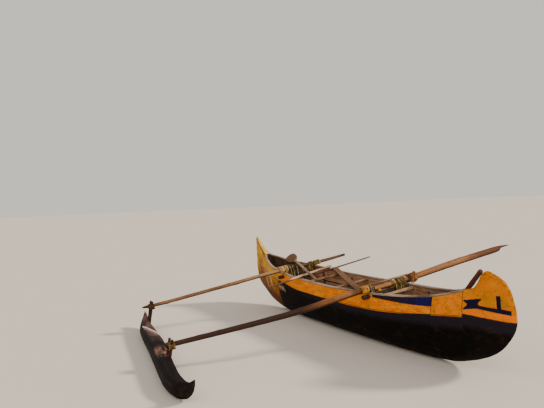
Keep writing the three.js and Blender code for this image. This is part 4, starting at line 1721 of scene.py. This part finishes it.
def lay_rope(
    name: str, paths: list[np.ndarray], radius: float, finish: Finish,
    lay: float = 28.0, spacing: float = 0.008,
) -> bpy.types.Object:
    """Makes rope along paths in the hull's frame.

    Args:
        name: the piece's name.
        paths: arrays of points.
        radius: radius of the rope.
        finish: its finish.
        lay: turns of its strands in each metre.
        spacing: length of its mesh's steps.

    Returns:
        The rope as a plain mesh object.
    """
    points, edges = [], []
    for path in paths:
        base = len(points)
        points += [tuple(HULL_PLACE @ Vector(p)) for p in path]
        edges += [(base + k, base + k + 1) for k in range(len(path) - 1)]
    guide = bpy.data.meshes.new(f"{name}_guide")
    guide.from_pydata(points, edges, [])
    values = {"Radius": radius, "Lay": lay, "Spacing": spacing, "Material": material_of(finish)}
    return grow(name, guide, ROPE_TREE, values)


@dataclass
class Fastenings:
    """Nails along the planks and rails, and the caulking in the joint over the log."""

    start: float = -2.310
    end: float = 2.560
    spacing: float = 0.155
    nail: float = 0.0062
    inset: float = 0.0012
    over_seam: float = 0.022
    under_rail: float = 0.046
    in_rail: float = 0.012
    caulk: float = 0.0034
    caulk_under: float = 0.001
    caulk_ends: tuple[float, float] = (-2.900, 3.060)
    caulk_step: float = 0.040

    def on_skin(self, x: float, z: float, side: int, inset: float) -> tuple[Point, Point]:
        """A place on the hull's outer skin and the way it faces.

        Args:
            x: station.
            z: height.
            side: 1 to port, -1 to starboard.
            inset: distance under the skin.

        Returns:
            The place and its outward direction.
        """
        (low_y, low_z), (high_y, high_z) = HULL.between(x, z, z + 0.01, 2, Surface.OUTSIDE)
        out = unit(np.array((high_z - low_z, low_y - high_y)))
        y, z = np.array((low_y, low_z)) - out * inset
        return (x, side * float(y), float(z)), (0.0, side * float(out[0]), float(out[1]))

    def nails(self) -> None:
        """Rows of nails along each plank's foot, under its rail and in the rail's top."""
        places, outs = [], []
        for side in (1, -1):
            for k, x in enumerate(np.arange(self.start, self.end, self.spacing)):
                sheer = float(lines("sheer", x + self.spacing / 2))
                rows = [
                    self.on_skin(x, float(seam(x)) + self.over_seam, side, self.inset),
                    self.on_skin(x + self.spacing / 2, sheer - self.under_rail, side, self.inset),
                ]
                if k % 2:
                    y, z = float(lines("half", x)) - self.in_rail, float(lines("sheer", x)) - self.inset
                    rows.append(((x, side * y, z), (0.0, 0.0, 1.0)))
                places += [row[0] for row in rows]
                outs += [row[1] for row in rows]
        guide = bpy.data.meshes.new("nail_places")
        guide.from_pydata([tuple(HULL_PLACE @ Vector(place)) for place in places], [], [])
        facing = guide.attributes.new("out", "FLOAT_VECTOR", "POINT")
        turned = [HULL_PLACE.to_3x3() @ Vector(out) for out in outs]
        facing.data.foreach_set("vector", np.array(turned, np.float32).ravel())
        nails = grow("nails", guide, PEG_TREE, {"Radius": self.nail, "Material": material_of(Finish.NAIL)})
        settle(nails, "weathered_wood")

    def caulking(self) -> None:
        """Fibre pressed into the joint between log and planks."""
        xs = np.arange(*self.caulk_ends, self.caulk_step)
        places = [(float(x), float(seam(x)) - self.caulk_under) for x in xs]
        paths = [
            np.array([self.on_skin(x, z, side, self.caulk * 0.75)[0] for x, z in places]) for side in (1, -1)
        ]
        settle(lay_rope("caulking", paths, self.caulk, Finish.CAULK, 14.0, 0.014), "rope")

    def build(self) -> None:
        """Makes the fastenings."""
        self.nails()
        self.caulking()


class Hold(Enum):
    """What a run of rope turns goes round."""

    BOTH = "boom and beam"
    BOOM = "boom"


class Run(NamedTuple):
    """Turns side by side: their first and last y, pitch, layers, finish, what they hold and their slant."""

    start: float
    end: float
    pitch: float
    layers: int
    finish: Finish
    hold: Hold = Hold.BOTH
    slant: float = 0.0


class Knot(NamedTuple):
    """A knot by its place y, its shift along the hull and up from the boom's top, and its size."""

    y: float
    shift: float
    rise: float
    size: float


@dataclass
class Lashing:
    """Rope that binds a boom to its cross beam, in runs of turns with knots and loose ends."""

    name: str
    boom: Sequence[tuple]
    beam_x: float
    beam_z: float
    runs: tuple[Run, ...]
    knots: tuple[Knot, ...] = ()
    # Loose ends hang between these places
    fringe: tuple[float, float] = (0.1, 0.2)
    loose: int = 6
    radius: float = 0.0062
    thin: float = 0.0026
    beam_reach: float = 0.034
    steps: int = 24
    seed: int = 1

    def around(self, y: float, angle: float, off: float, hold: Hold) -> tuple[float, float]:
        """Finds where a tight turn passes.

        Args:
            y: place across the canoe.
            angle: direction from the poles.
            off: distance from them.
            hold: what the turn goes round.

        Returns:
            Its x and z.
        """
        c, s = math.cos(angle), math.sin(angle)
        bars = [read_pole(self.boom, y)]
        if hold is Hold.BOTH:
            bars.append((self.beam_x, self.beam_z, self.beam_reach))
        x, z, r = max(bars, key=lambda bar: bar[0] * c + bar[1] * s + bar[2])
        return x + (r + off) * c, z + (r + off) * s

    def turn(self, start: float, end: float, off: float, lean: float, hold: Hold) -> list[Point]:
        """Makes one turn, which starts below and shifts while it passes over the boom.

        Args:
            start: its first y.
            end: its last y.
            off: distance from the poles.
            lean: its slant.
            hold: what it goes round.

        Returns:
            Its points.
        """
        path = []
        for k in range(self.steps):
            angle = -math.pi / 2 + math.tau * k / self.steps
            u = min(max((angle - 0.15 * math.pi) / (0.7 * math.pi), 0.0), 1.0)
            y = start + (end - start) * u * u * (3 - 2 * u) + lean * math.sin(angle)
            x, z = self.around(y, angle, off, hold)
            path.append((x, y, z))
        return path

    def coil(self, run: Run, chance: random.Random) -> list[np.ndarray]:
        """Paths of one run's turns, with slanting turns over them.

        Args:
            run: the run.
            chance: source of its unevenness.

        Returns:
            One path for each layer and each slanting turn.
        """
        paths = []
        for layer in range(run.layers):
            trim = 0.7 * layer * run.pitch
            count = max(round((run.end - run.start - 2 * trim) / run.pitch), 1)
            marks = np.linspace(run.start + trim, run.end - trim, count + 1)
            marks[1:-1] += [chance.uniform(-0.2, 0.2) * run.pitch for _ in marks[1:-1]]
            path = []
            for here, there in zip(marks, marks[1:]):
                off = self.radius * (chance.uniform(1.0, 1.4) + 1.75 * layer)
                lean = run.slant + chance.uniform(-0.4, 0.4) * min(run.pitch, 3 * self.radius)
                path += self.turn(here, there, off, lean, run.hold)
            paths.append(np.array(path))
        for _ in range(run.layers - 1):
            ends = [chance.uniform(run.start, run.end) for _ in range(2)]
            off = self.radius * (1.3 + 1.75 * run.layers)
            slanted = self.turn(*ends, off, run.slant + chance.uniform(-0.5, 0.5) * run.pitch, run.hold)
            paths.append(np.array(slanted))
        return paths

    def knot(self, knot: Knot) -> np.ndarray:
        """Makes a loose trefoil of rope.

        Args:
            knot: its place and size.

        Returns:
            Its points.
        """
        x, z, r = read_pole(self.boom, knot.y)
        turn = np.linspace(0, math.tau, 49)
        scale = knot.size / 3
        return np.column_stack((
            x + knot.shift + scale * (np.sin(turn) + 2 * np.sin(2 * turn)),
            knot.y + scale * (np.cos(turn) - 2 * np.cos(2 * turn)),
            z + r + knot.rise + scale * (1.3 - 1.3 * np.sin(3 * turn)),
        ))

    def strands(self, count: int, chance: random.Random) -> list[np.ndarray]:
        """Makes frayed ends that hang from the boom inside the hull.

        Args:
            count: how many.
            chance: source of their unevenness.

        Returns:
            A path for each.
        """
        paths = []
        for _ in range(count):
            y = chance.uniform(*self.fringe)
            x, z, r = read_pole(self.boom, y)
            side = chance.choice((-1, -1, 1))
            length, lean = chance.uniform(0.05, 0.15), chance.uniform(-0.06, 0.02)
            path = []
            for k in range(9):
                u = k / 8
                out = side * (r + 0.008 + 0.03 * math.sin(2.2 * u))
                path.append((x + out, y + lean * u, z + 0.012 - length * u**1.3))
            paths.append(np.array(path))
        return paths

    def build(self) -> None:
        """Makes the rope, a piece for each finish, and its loose ends."""
        chance = random.Random(self.seed)
        paths: dict[Finish, list[np.ndarray]] = {}
        for run in self.runs:
            paths.setdefault(run.finish, []).extend(self.coil(run, chance))
        paths.setdefault(self.runs[0].finish, []).extend(self.knot(knot) for knot in self.knots)
        for k, (finish, group) in enumerate(paths.items()):
            rope = lay_rope(f"{self.name}_{finish.name.lower()}", group, self.radius, finish)
            settle(rope, "rope", *([self.name] if k == 0 else []))
        for finish, share in ((Finish.OLIVE_ROPE, 0.65), (Finish.DARK_ROPE, 0.35)):
            ends = self.strands(round(self.loose * share), chance)
            frayed = lay_rope(f"{self.name}_ends_{finish.name.lower()}", ends, self.thin, finish, 60, 0.006)
            settle(frayed, "rope")


class Stand(NamedTuple):
    """A boom's end on the float: name, boom, y, its stakes' rise over it and depth below, and rope."""

    name: str
    boom: Sequence[tuple]
    y: float
    rise: float
    below: float
    rope: Finish


@dataclass
class Outrigger:
    """Booms, float, stakes and the lashings that hold them."""

    stake_radius: float = 0.019
    stake_tip: float = 0.015
    stake_lean: float = 0.3
    stake_spread: float = 0.06
    stake_clear: float = 0.005
    stake_cut: Cut = Cut(2.4, 0.012, 16, 0.003, 0.04, 2, 0.004, up=(1.0, 0.0, 0.0))
    turns: int = 8
    turn_pitch: float = 0.0095
    turn_steps: int = 32
    turn_radius: float = 0.0048
    stands: tuple[Stand, ...] = (
        Stand("fore", BOOM_FORE, 2.440, 0.066, 0.270, Finish.DARK_ROPE),
        Stand("aft", BOOM_AFT, 2.752, 0.065, 0.190, Finish.STAKE_ROPE),
    )
    lashings: tuple[Lashing, ...] = (
        Lashing(
            "lashing_fore_port", BOOM_FORE, 1.445, 0.695,
            (
                Run(0.276, 0.345, 0.0122, 2, Finish.PALE_ROPE, Hold.BOOM),
                Run(0.206, 0.262, 0.0122, 2, Finish.PALE_ROPE, Hold.BOOM),
                Run(0.222, 0.254, 0.0140, 1, Finish.ROPE),
                Run(0.150, 0.206, 0.0130, 1, Finish.DARK_ROPE, Hold.BOOM),
                Run(0.010, 0.170, 0.0560, 1, Finish.STRAND, slant=0.024),
                Run(-0.060, 0.140, 0.0240, 1, Finish.DARK_ROPE, Hold.BOOM, 0.016),
            ),
            (Knot(0.300, 0.020, 0.006, 0.018),), (0.02, 0.21), 6, seed=3,
        ),
        Lashing(
            "lashing_fore_starboard", BOOM_FORE, 1.445, 0.695,
            (
                Run(-0.386, -0.352, 0.0128, 1, Finish.OLIVE_ROPE, Hold.BOOM),
                Run(-0.352, -0.262, 0.0240, 1, Finish.DARK_ROPE, Hold.BOOM),
                Run(-0.344, -0.268, 0.0240, 1, Finish.OLIVE_ROPE, Hold.BOOM),
                Run(-0.262, -0.166, 0.0330, 1, Finish.OLIVE_ROPE),
                Run(-0.256, -0.172, 0.0300, 1, Finish.OLIVE_ROPE),
                Run(-0.240, -0.190, 0.0250, 1, Finish.DARK_ROPE),
            ),
            (Knot(-0.352, -0.010, 0.000, 0.016),), (-0.24, -0.03), 12, seed=5,
        ),
        Lashing(
            "lashing_aft_port", BOOM_AFT, -0.950, 0.680,
            (
                Run(0.292, 0.392, 0.0122, 1, Finish.ROPE, Hold.BOOM),
                Run(0.250, 0.263, 0.0120, 1, Finish.STRAND),
                Run(0.200, 0.236, 0.0340, 1, Finish.STRAND, slant=0.012),
                Run(0.264, 0.290, 0.0125, 1, Finish.DARK_ROPE, Hold.BOOM),
                Run(0.204, 0.246, 0.0130, 1, Finish.DARK_ROPE),
            ),
            (Knot(0.160, -0.044, -0.058, 0.022), Knot(0.336, -0.034, -0.012, 0.020)), (0.05, 0.20), 5, seed=7,
        ),
        Lashing(
            "lashing_aft_starboard", BOOM_AFT, -0.950, 0.680,
            (
                Run(-0.440, -0.338, 0.0125, 2, Finish.BROWN_ROPE, Hold.BOOM),
                # Dark turns stand for painted shade in a hollow of the coil
                Run(-0.338, -0.300, 0.0125, 1, Finish.DARK_ROPE, Hold.BOOM),
                Run(-0.262, -0.200, 0.0200, 1, Finish.OLIVE_ROPE),
                Run(-0.240, -0.070, 0.0340, 1, Finish.OLIVE_ROPE, Hold.BOOM, 0.012),
                Run(-0.220, -0.100, 0.0580, 1, Finish.PALE_ROPE, slant=0.024),
                Run(-0.230, -0.120, 0.0300, 1, Finish.DARK_ROPE),
            ),
            (Knot(-0.400, -0.030, 0.000, 0.022), Knot(-0.300, 0.010, 0.004, 0.016)),
            (-0.26, -0.04), 14, seed=9,
        ),
    )

    def booms(self) -> None:
        """The two long poles."""
        for name, table, cut, finish, knots, seed in (
            ("boom_fore", BOOM_FORE, (), Finish.BOOM_FORE, 14, 41),
            ("boom_aft", BOOM_AFT, BOOM_AFT_CUT, Finish.BOOM_AFT, 22, 42),
        ):
            rows = [(*row, row[3]) for row in table] + list(cut)
            path, wide, thick = [row[:3] for row in rows], [row[3] for row in rows], [row[4] for row in rows]
            form = Cut(2.0, 0.018, 24, 0.0035, 0.09, knots, 0.005)
            timber = Timber(f"{name}_wood", path, wide, thick, form, seed)
            timber.build(finish, "boom_wood", name)

    def stakes_of(self, stand: Stand) -> None:
        """The two stakes at one boom's end: foot, crossing and head.

        Args:
            stand: the boom's end.
        """
        x, z, r = read_pole(stand.boom, stand.y)
        for side, word in ((-1, "aft"), (1, "front")):
            off = side * (r + self.stake_radius + self.stake_clear)
            path = [
                (x + off + side * self.stake_spread * h, stand.y - self.stake_lean * h, z + h)
                for h in (-stand.below, 0.0, stand.rise)
            ]
            radii = [self.stake_radius, self.stake_radius, self.stake_tip]
            seed = 60 + int(stand.y * 10) + side
            timber = Timber(f"stake_{stand.name}_{word}_wood", path, radii, None, self.stake_cut, seed)
            timber.build(Finish.STAKE, "stake_wood", f"stake_{stand.name}_{word}")

    def stake_rope(self, stand: Stand) -> None:
        """The turns of rope round one boom's end and its two stakes.

        Args:
            stand: the boom's end.
        """
        x, z, r = read_pole(stand.boom, stand.y)
        reach = r + 2 * self.stake_radius + self.stake_clear + 0.004
        chance = random.Random(int(stand.y * 100))
        paths = []
        for k in range(self.turns):
            level = stand.y - 0.034 + k * self.turn_pitch
            tilt = chance.uniform(-0.006, 0.006)
            ring = []
            for j in range(self.turn_steps + 1):
                angle = math.tau * j / self.turn_steps + k
                wide = reach * math.copysign(abs(math.cos(angle)) ** 0.6, math.cos(angle))
                tall = 0.036 * math.copysign(abs(math.sin(angle)) ** 0.6, math.sin(angle))
                ring.append((x + wide, level + tilt * math.sin(angle), z - 0.012 + tall))
            paths.append(np.array(ring))
        rope = lay_rope(f"lashing_float_{stand.name}_rope", paths, self.turn_radius, stand.rope)
        settle(rope, "rope", f"lashing_float_{stand.name}")

    def build(self) -> None:
        """Makes the outrigger without its float."""
        self.booms()
        for stand in self.stands:
            self.stakes_of(stand)
            self.stake_rope(stand)
        for lashing in self.lashings:
            lashing.build()


@dataclass
class Float:
    """The log float, carved as a small boat with an upturned horn at its aft end."""

    fore: tuple[float, float] = (2.060, 2.442)
    aft: tuple[float, float] = (-1.900, 2.886)
    raised: float = 0.230
    waist: float = 0.58
    spacing: float = 0.016
    dents: float = 0.006
    dent_size: float = 0.12
    # Sections: along, half-width of the top, bulge outboard, top, bottom
    sections: tuple = (
        (-1.995, 0.006, 0.000, 0.262, 0.196), (-1.945, 0.012, 0.008, 0.240, 0.130),
        (-1.870, 0.026, 0.026, 0.206, 0.066), (-1.780, 0.048, 0.060, 0.186, 0.018),
        (-1.640, 0.076, 0.100, 0.178, 0.000), (-1.350, 0.092, 0.122, 0.178, -0.004),
        (-0.500, 0.104, 0.098, 0.184, -0.004), (0.300, 0.112, 0.074, 0.188, -0.004),
        (1.150, 0.096, 0.074, 0.190, -0.004), (1.550, 0.074, 0.048, 0.200, 0.006),
        (1.800, 0.044, 0.020, 0.220, 0.050), (1.940, 0.020, 0.004, 0.240, 0.115),
        (1.998, 0.008, 0.000, 0.250, 0.180),
    )
    # Half sections, across and up as shares: each side down to the widest line, and the bilge
    outboard: tuple = (
        (0.0, 1.0), (0.28, 0.995), (0.48, 0.970), (0.64, 0.920), (0.77, 0.850), (0.88, 0.765), (0.96, 0.665),
        (1.0, 0.55),
    )
    inboard: tuple = (
        (0.0, 1.0), (0.30, 1.0), (0.56, 0.995), (0.72, 0.985), (0.84, 0.95), (0.93, 0.86), (0.985, 0.74),
        (1.0, 0.58),
    )
    bilge: tuple = ((0.97, 0.42), (0.88, 0.27), (0.72, 0.14), (0.50, 0.045), (0.26, 0.0), (0.0, 0.0))

    def place(self) -> Matrix:
        """Finds how the float lies.

        Returns:
            Matrix from the float's frame to the part's.
        """
        rise = self.raised - LIFT
        aside = rise * math.tan(HEEL) - LOW_Y
        ends = [Vector((x, y / math.cos(HEEL) + aside)) for x, y in (self.fore, self.aft)]
        middle = (ends[0] + ends[1]) / 2
        run = ends[0] - ends[1]
        lean = HULL_PLACE.translation
        shift = Vector((lean.x, lean.y + LOW_Y, 0))
        turn = Matrix.Rotation(math.atan2(run.y, run.x), 4, "Z")
        return Matrix.Translation(shift + Vector((*middle, 0))) @ turn

    def build(self) -> None:
        """Makes the float."""
        table = np.array(self.sections)
        s = np.r_[np.arange(table[0, 0], table[-1, 0], self.spacing), table[-1, 0]]
        half, mid, top, bottom = (through(table[:, 0], table[:, k], s) for k in range(1, 5))
        depth = top - bottom
        outer, inner = np.array(self.outboard + self.bilge), np.array(self.inboard + self.bilge)
        ring = np.vstack((outer, inner[-2:0:-1] * [-1, 1]))
        rings = np.empty((len(s), len(ring), 3))
        rings[..., 0] = s[:, None]
        rings[..., 1] = mid[:, None] + ring[None, :, 0] * half[:, None]
        rings[..., 2] = bottom[:, None] + ring[None, :, 1] * depth[:, None]
        out = np.zeros_like(rings)
        out[..., 1] = ring[None, :, 0]
        out[..., 2] = ring[None, :, 1] * 2 - 1
        moved = roughen(rings, unit(out), self.dents, self.dent_size, 4.4)
        draft = Draft("float_skin")
        across = np.repeat(ring[None, :, 0], len(s), axis=0)
        draft.loft(moved, grain=rings, across=across)
        settle(draft.build(material_of(Finish.FLOAT), self.place(), 50), "float_wood", "float_log")


class GearPiece(NamedTuple):
    """A pole or board: node, finish, slot, path, half-widths, half-thicknesses if other, cut, seed."""

    node: str
    finish: Finish
    slot: str
    path: tuple[Point, ...]
    wide: tuple[float, ...]
    thick: tuple[float, ...] | None
    cut: Cut
    seed: int


@dataclass
class Gear:
    """Poles, paddle and board that lie across the hull, and the stake at the stern."""

    grip: Point = (0.335, 0.316, 0.768)
    neck: Point = (1.620, -0.035, 0.872)
    blade: float = 0.560
    droop: float = 0.030
    paddle_cut: Cut = Cut(2.2, 0.014, 20, 0.001, 0.06, up=(0.0, 0.50, 0.87))
    pieces: tuple[GearPiece, ...] = (
        GearPiece(
            "cross_pole", Finish.CROSS_POLE, "weathered_wood",
            ((0.568, 0.950, 0.766), (0.810, 0.330, 0.764), (1.010, -0.340, 0.768)),
            (0.011, 0.022, 0.021), None, Cut(2.0, 0.018, 20, 0.003, 0.07, 5), 72,
        ),
        GearPiece(
            "lashing_pole", Finish.POLE, "weathered_wood", ((-0.908, 0.300, 0.804), (-0.929, -0.345, 0.822)),
            (0.013, 0.013), None, Cut(2.0, 0.02, 16, 0.002, 0.05, 3), 73,
        ),
        GearPiece(
            "cross_stick", Finish.STAKE, "stake_wood",
            ((0.868, 0.070, 0.726), (0.868, -0.322, 0.753), (0.886, -1.000, 0.790)),
            (0.012, 0.012, 0.010), None, Cut(2.0, 0.02, 14, 0.002, 0.05, 5), 74,
        ),
        GearPiece(
            "loose_board", Finish.BOARD, "inner_wood", ((0.800, -0.278, 0.773), (-0.640, 0.188, 0.662)),
            (0.045, 0.045), (0.012, 0.012), Cut(7.0, 0.025, 24, 0.0025, 0.1), 75,
        ),
        GearPiece(
            "stern_stake", Finish.STAKE, "stake_wood", ((-2.346, -0.008, 0.848), (-2.590, -0.017, 1.085)),
            (0.025, 0.025), None, Cut(3.0, 0.014, 18, 0.003, 0.05, 2, up=(0.0, 1.0, 0.0)), 76,
        ),
    )

    def paddle(self) -> None:
        """A paddle with a long leaf-shaped blade."""
        grip, neck = Vector(self.grip), Vector(self.neck)
        ahead = (neck - grip).normalized()
        length = (neck - grip).length
        # Along the paddle: distance from the grip, half-width, half-thickness
        rows = (
            (0.0, 0.022, 0.022), (0.05, 0.020, 0.020), (length - 0.12, 0.021, 0.021), (length, 0.028, 0.019),
            (length + 0.08, 0.060, 0.013), (length + 0.22, 0.088, 0.009), (length + 0.40, 0.095, 0.008),
            (length + 0.50, 0.084, 0.007), (length + self.blade, 0.050, 0.006),
        )
        drop = [self.droop * max(row[0] - length, 0) / self.blade for row in rows]
        path = [tuple(grip + ahead * row[0] - Vector((0, 0, low))) for row, low in zip(rows, drop)]
        wide, thick = [row[1] for row in rows], [row[2] for row in rows]
        timber = Timber("paddle_wood", path, wide, thick, self.paddle_cut, 71)
        timber.build(Finish.PADDLE, "weathered_wood", "paddle")

    def build(self) -> None:
        """Makes all the gear."""
        self.paddle()
        for piece in self.pieces:
            timber = Timber(f"{piece.node}_wood", piece.path, piece.wide, piece.thick, piece.cut, piece.seed)
            timber.build(piece.finish, piece.slot, piece.node)


@dataclass(frozen=True)
class View:
    """The camera, given in the hull's own upright frame."""

    place: Point = (-7.199, 4.274, 2.420)
    yaw: float = -0.4304
    pitch: float = 0.0575
    roll: float = -0.1548
    focal_px: float = 600.0
    width_px: float = 544.0
    sensor: float = 36.0

    def build(self) -> None:
        """Makes the camera and looks through it."""
        yaw, pitch = self.yaw, self.pitch
        ahead = Vector((math.cos(yaw) * math.cos(pitch), math.sin(yaw) * math.cos(pitch), -math.sin(pitch)))
        right = ahead.cross(Vector((0, 0, 1))).normalized()
        up = right.cross(ahead)
        c, s = math.cos(self.roll), math.sin(self.roll)
        across, above = right * c + up * s, up * c - right * s
        turn = Matrix((across, above, -ahead)).transposed().to_4x4()
        data = bpy.data.cameras.new("camera")
        data.sensor_fit = "HORIZONTAL"
        data.sensor_width = self.sensor
        data.lens = self.focal_px / self.width_px * self.sensor
        camera = show("camera", data)
        camera.matrix_world = HULL_PLACE @ Matrix.Translation(self.place) @ turn
        bpy.context.scene.camera = camera


class Sun(NamedTuple):
    """A distant lamp: its name, where it shines from, strength, width in degrees and colour."""

    name: str
    place: Point
    strength: float
    width: float
    colour: Point


@dataclass(frozen=True)
class Studio:
    """Pale floor and soft light, with the main light low behind the canoe's right."""

    floor_size: float = 400.0
    floor_colour: Colour = srgb(226, 215, 200)
    floor_shade: Colour = srgb(206, 194, 178)
    backdrop: Colour = srgb(232, 226, 218)
    sky: Colour = (0.98, 0.97, 1.0, 1.0)
    sky_strength: float = 0.55
    suns: tuple[Sun, ...] = (
        Sun("key", (-0.40, -0.75, 0.52), 3.4, 9.0, (1.0, 0.92, 0.80)),
        Sun("fill", (-0.75, 0.60, 0.45), 1.5, 60.0, (1.0, 0.95, 0.88)),
    )

    def shine(self, sun: Sun) -> None:
        """Makes a distant lamp that shines from its place to the middle.

        Args:
            sun: the lamp.
        """
        data = bpy.data.lights.new(sun.name, "SUN")
        data.energy = sun.strength
        data.angle = math.radians(sun.width)
        data.color = sun.colour
        lamp = show(sun.name, data)
        lamp.rotation_euler = (-Vector(sun.place)).to_track_quat("-Z", "Y").to_euler()

    def floor(self) -> None:
        """Makes the floor."""
        half = self.floor_size / 2
        mesh = bpy.data.meshes.new("floor")
        outline = [(-half, -half, 0), (half, -half, 0), (half, half, 0), (-half, half, 0)]
        mesh.from_pydata(outline, [], [(0, 1, 2, 3)])
        shader = Shader("floor")
        tone = shader.place().clouds(0.6, detail=3, rough=0.5)
        colour = (tone * 0.12).mix(self.floor_colour, self.floor_shade)
        mesh.materials.append(shader.finish(colour, 0.95, None, shine=0.05))
        show("floor", mesh)

    def world(self) -> None:
        """Makes the sky: even light, and a plain pale backdrop where the camera sees it."""
        world = bpy.data.worlds.new("studio")
        world.use_nodes = True
        world.node_tree.nodes.clear()
        tree = Tree(world.node_tree)
        light = tree.add("ShaderNodeBackground", {0: self.sky, 1: self.sky_strength})
        seen = tree.add("ShaderNodeBackground", {0: self.backdrop})
        camera = tree.value("ShaderNodeLightPath", {}, "Is Camera Ray")
        mix = tree.add("ShaderNodeMixShader", {0: camera, 1: light, 2: seen})
        tree.add("ShaderNodeOutputWorld", {0: mix})
        bpy.context.scene.world = world

    def build(self) -> None:
        """Makes the floor, the lamps and the sky."""
        self.floor()
        for sun in self.suns:
            self.shine(sun)
        self.world()


def main() -> None:
    """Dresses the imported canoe."""
    logging.basicConfig(level=logging.INFO, format="%(message)s")
    View().build()
    Studio().build()
    for part in (Hull(), Fittings(), Outrigger(), Float(), Gear(), Fastenings()):
        part.build()


if __name__ == "__main__":
    main()
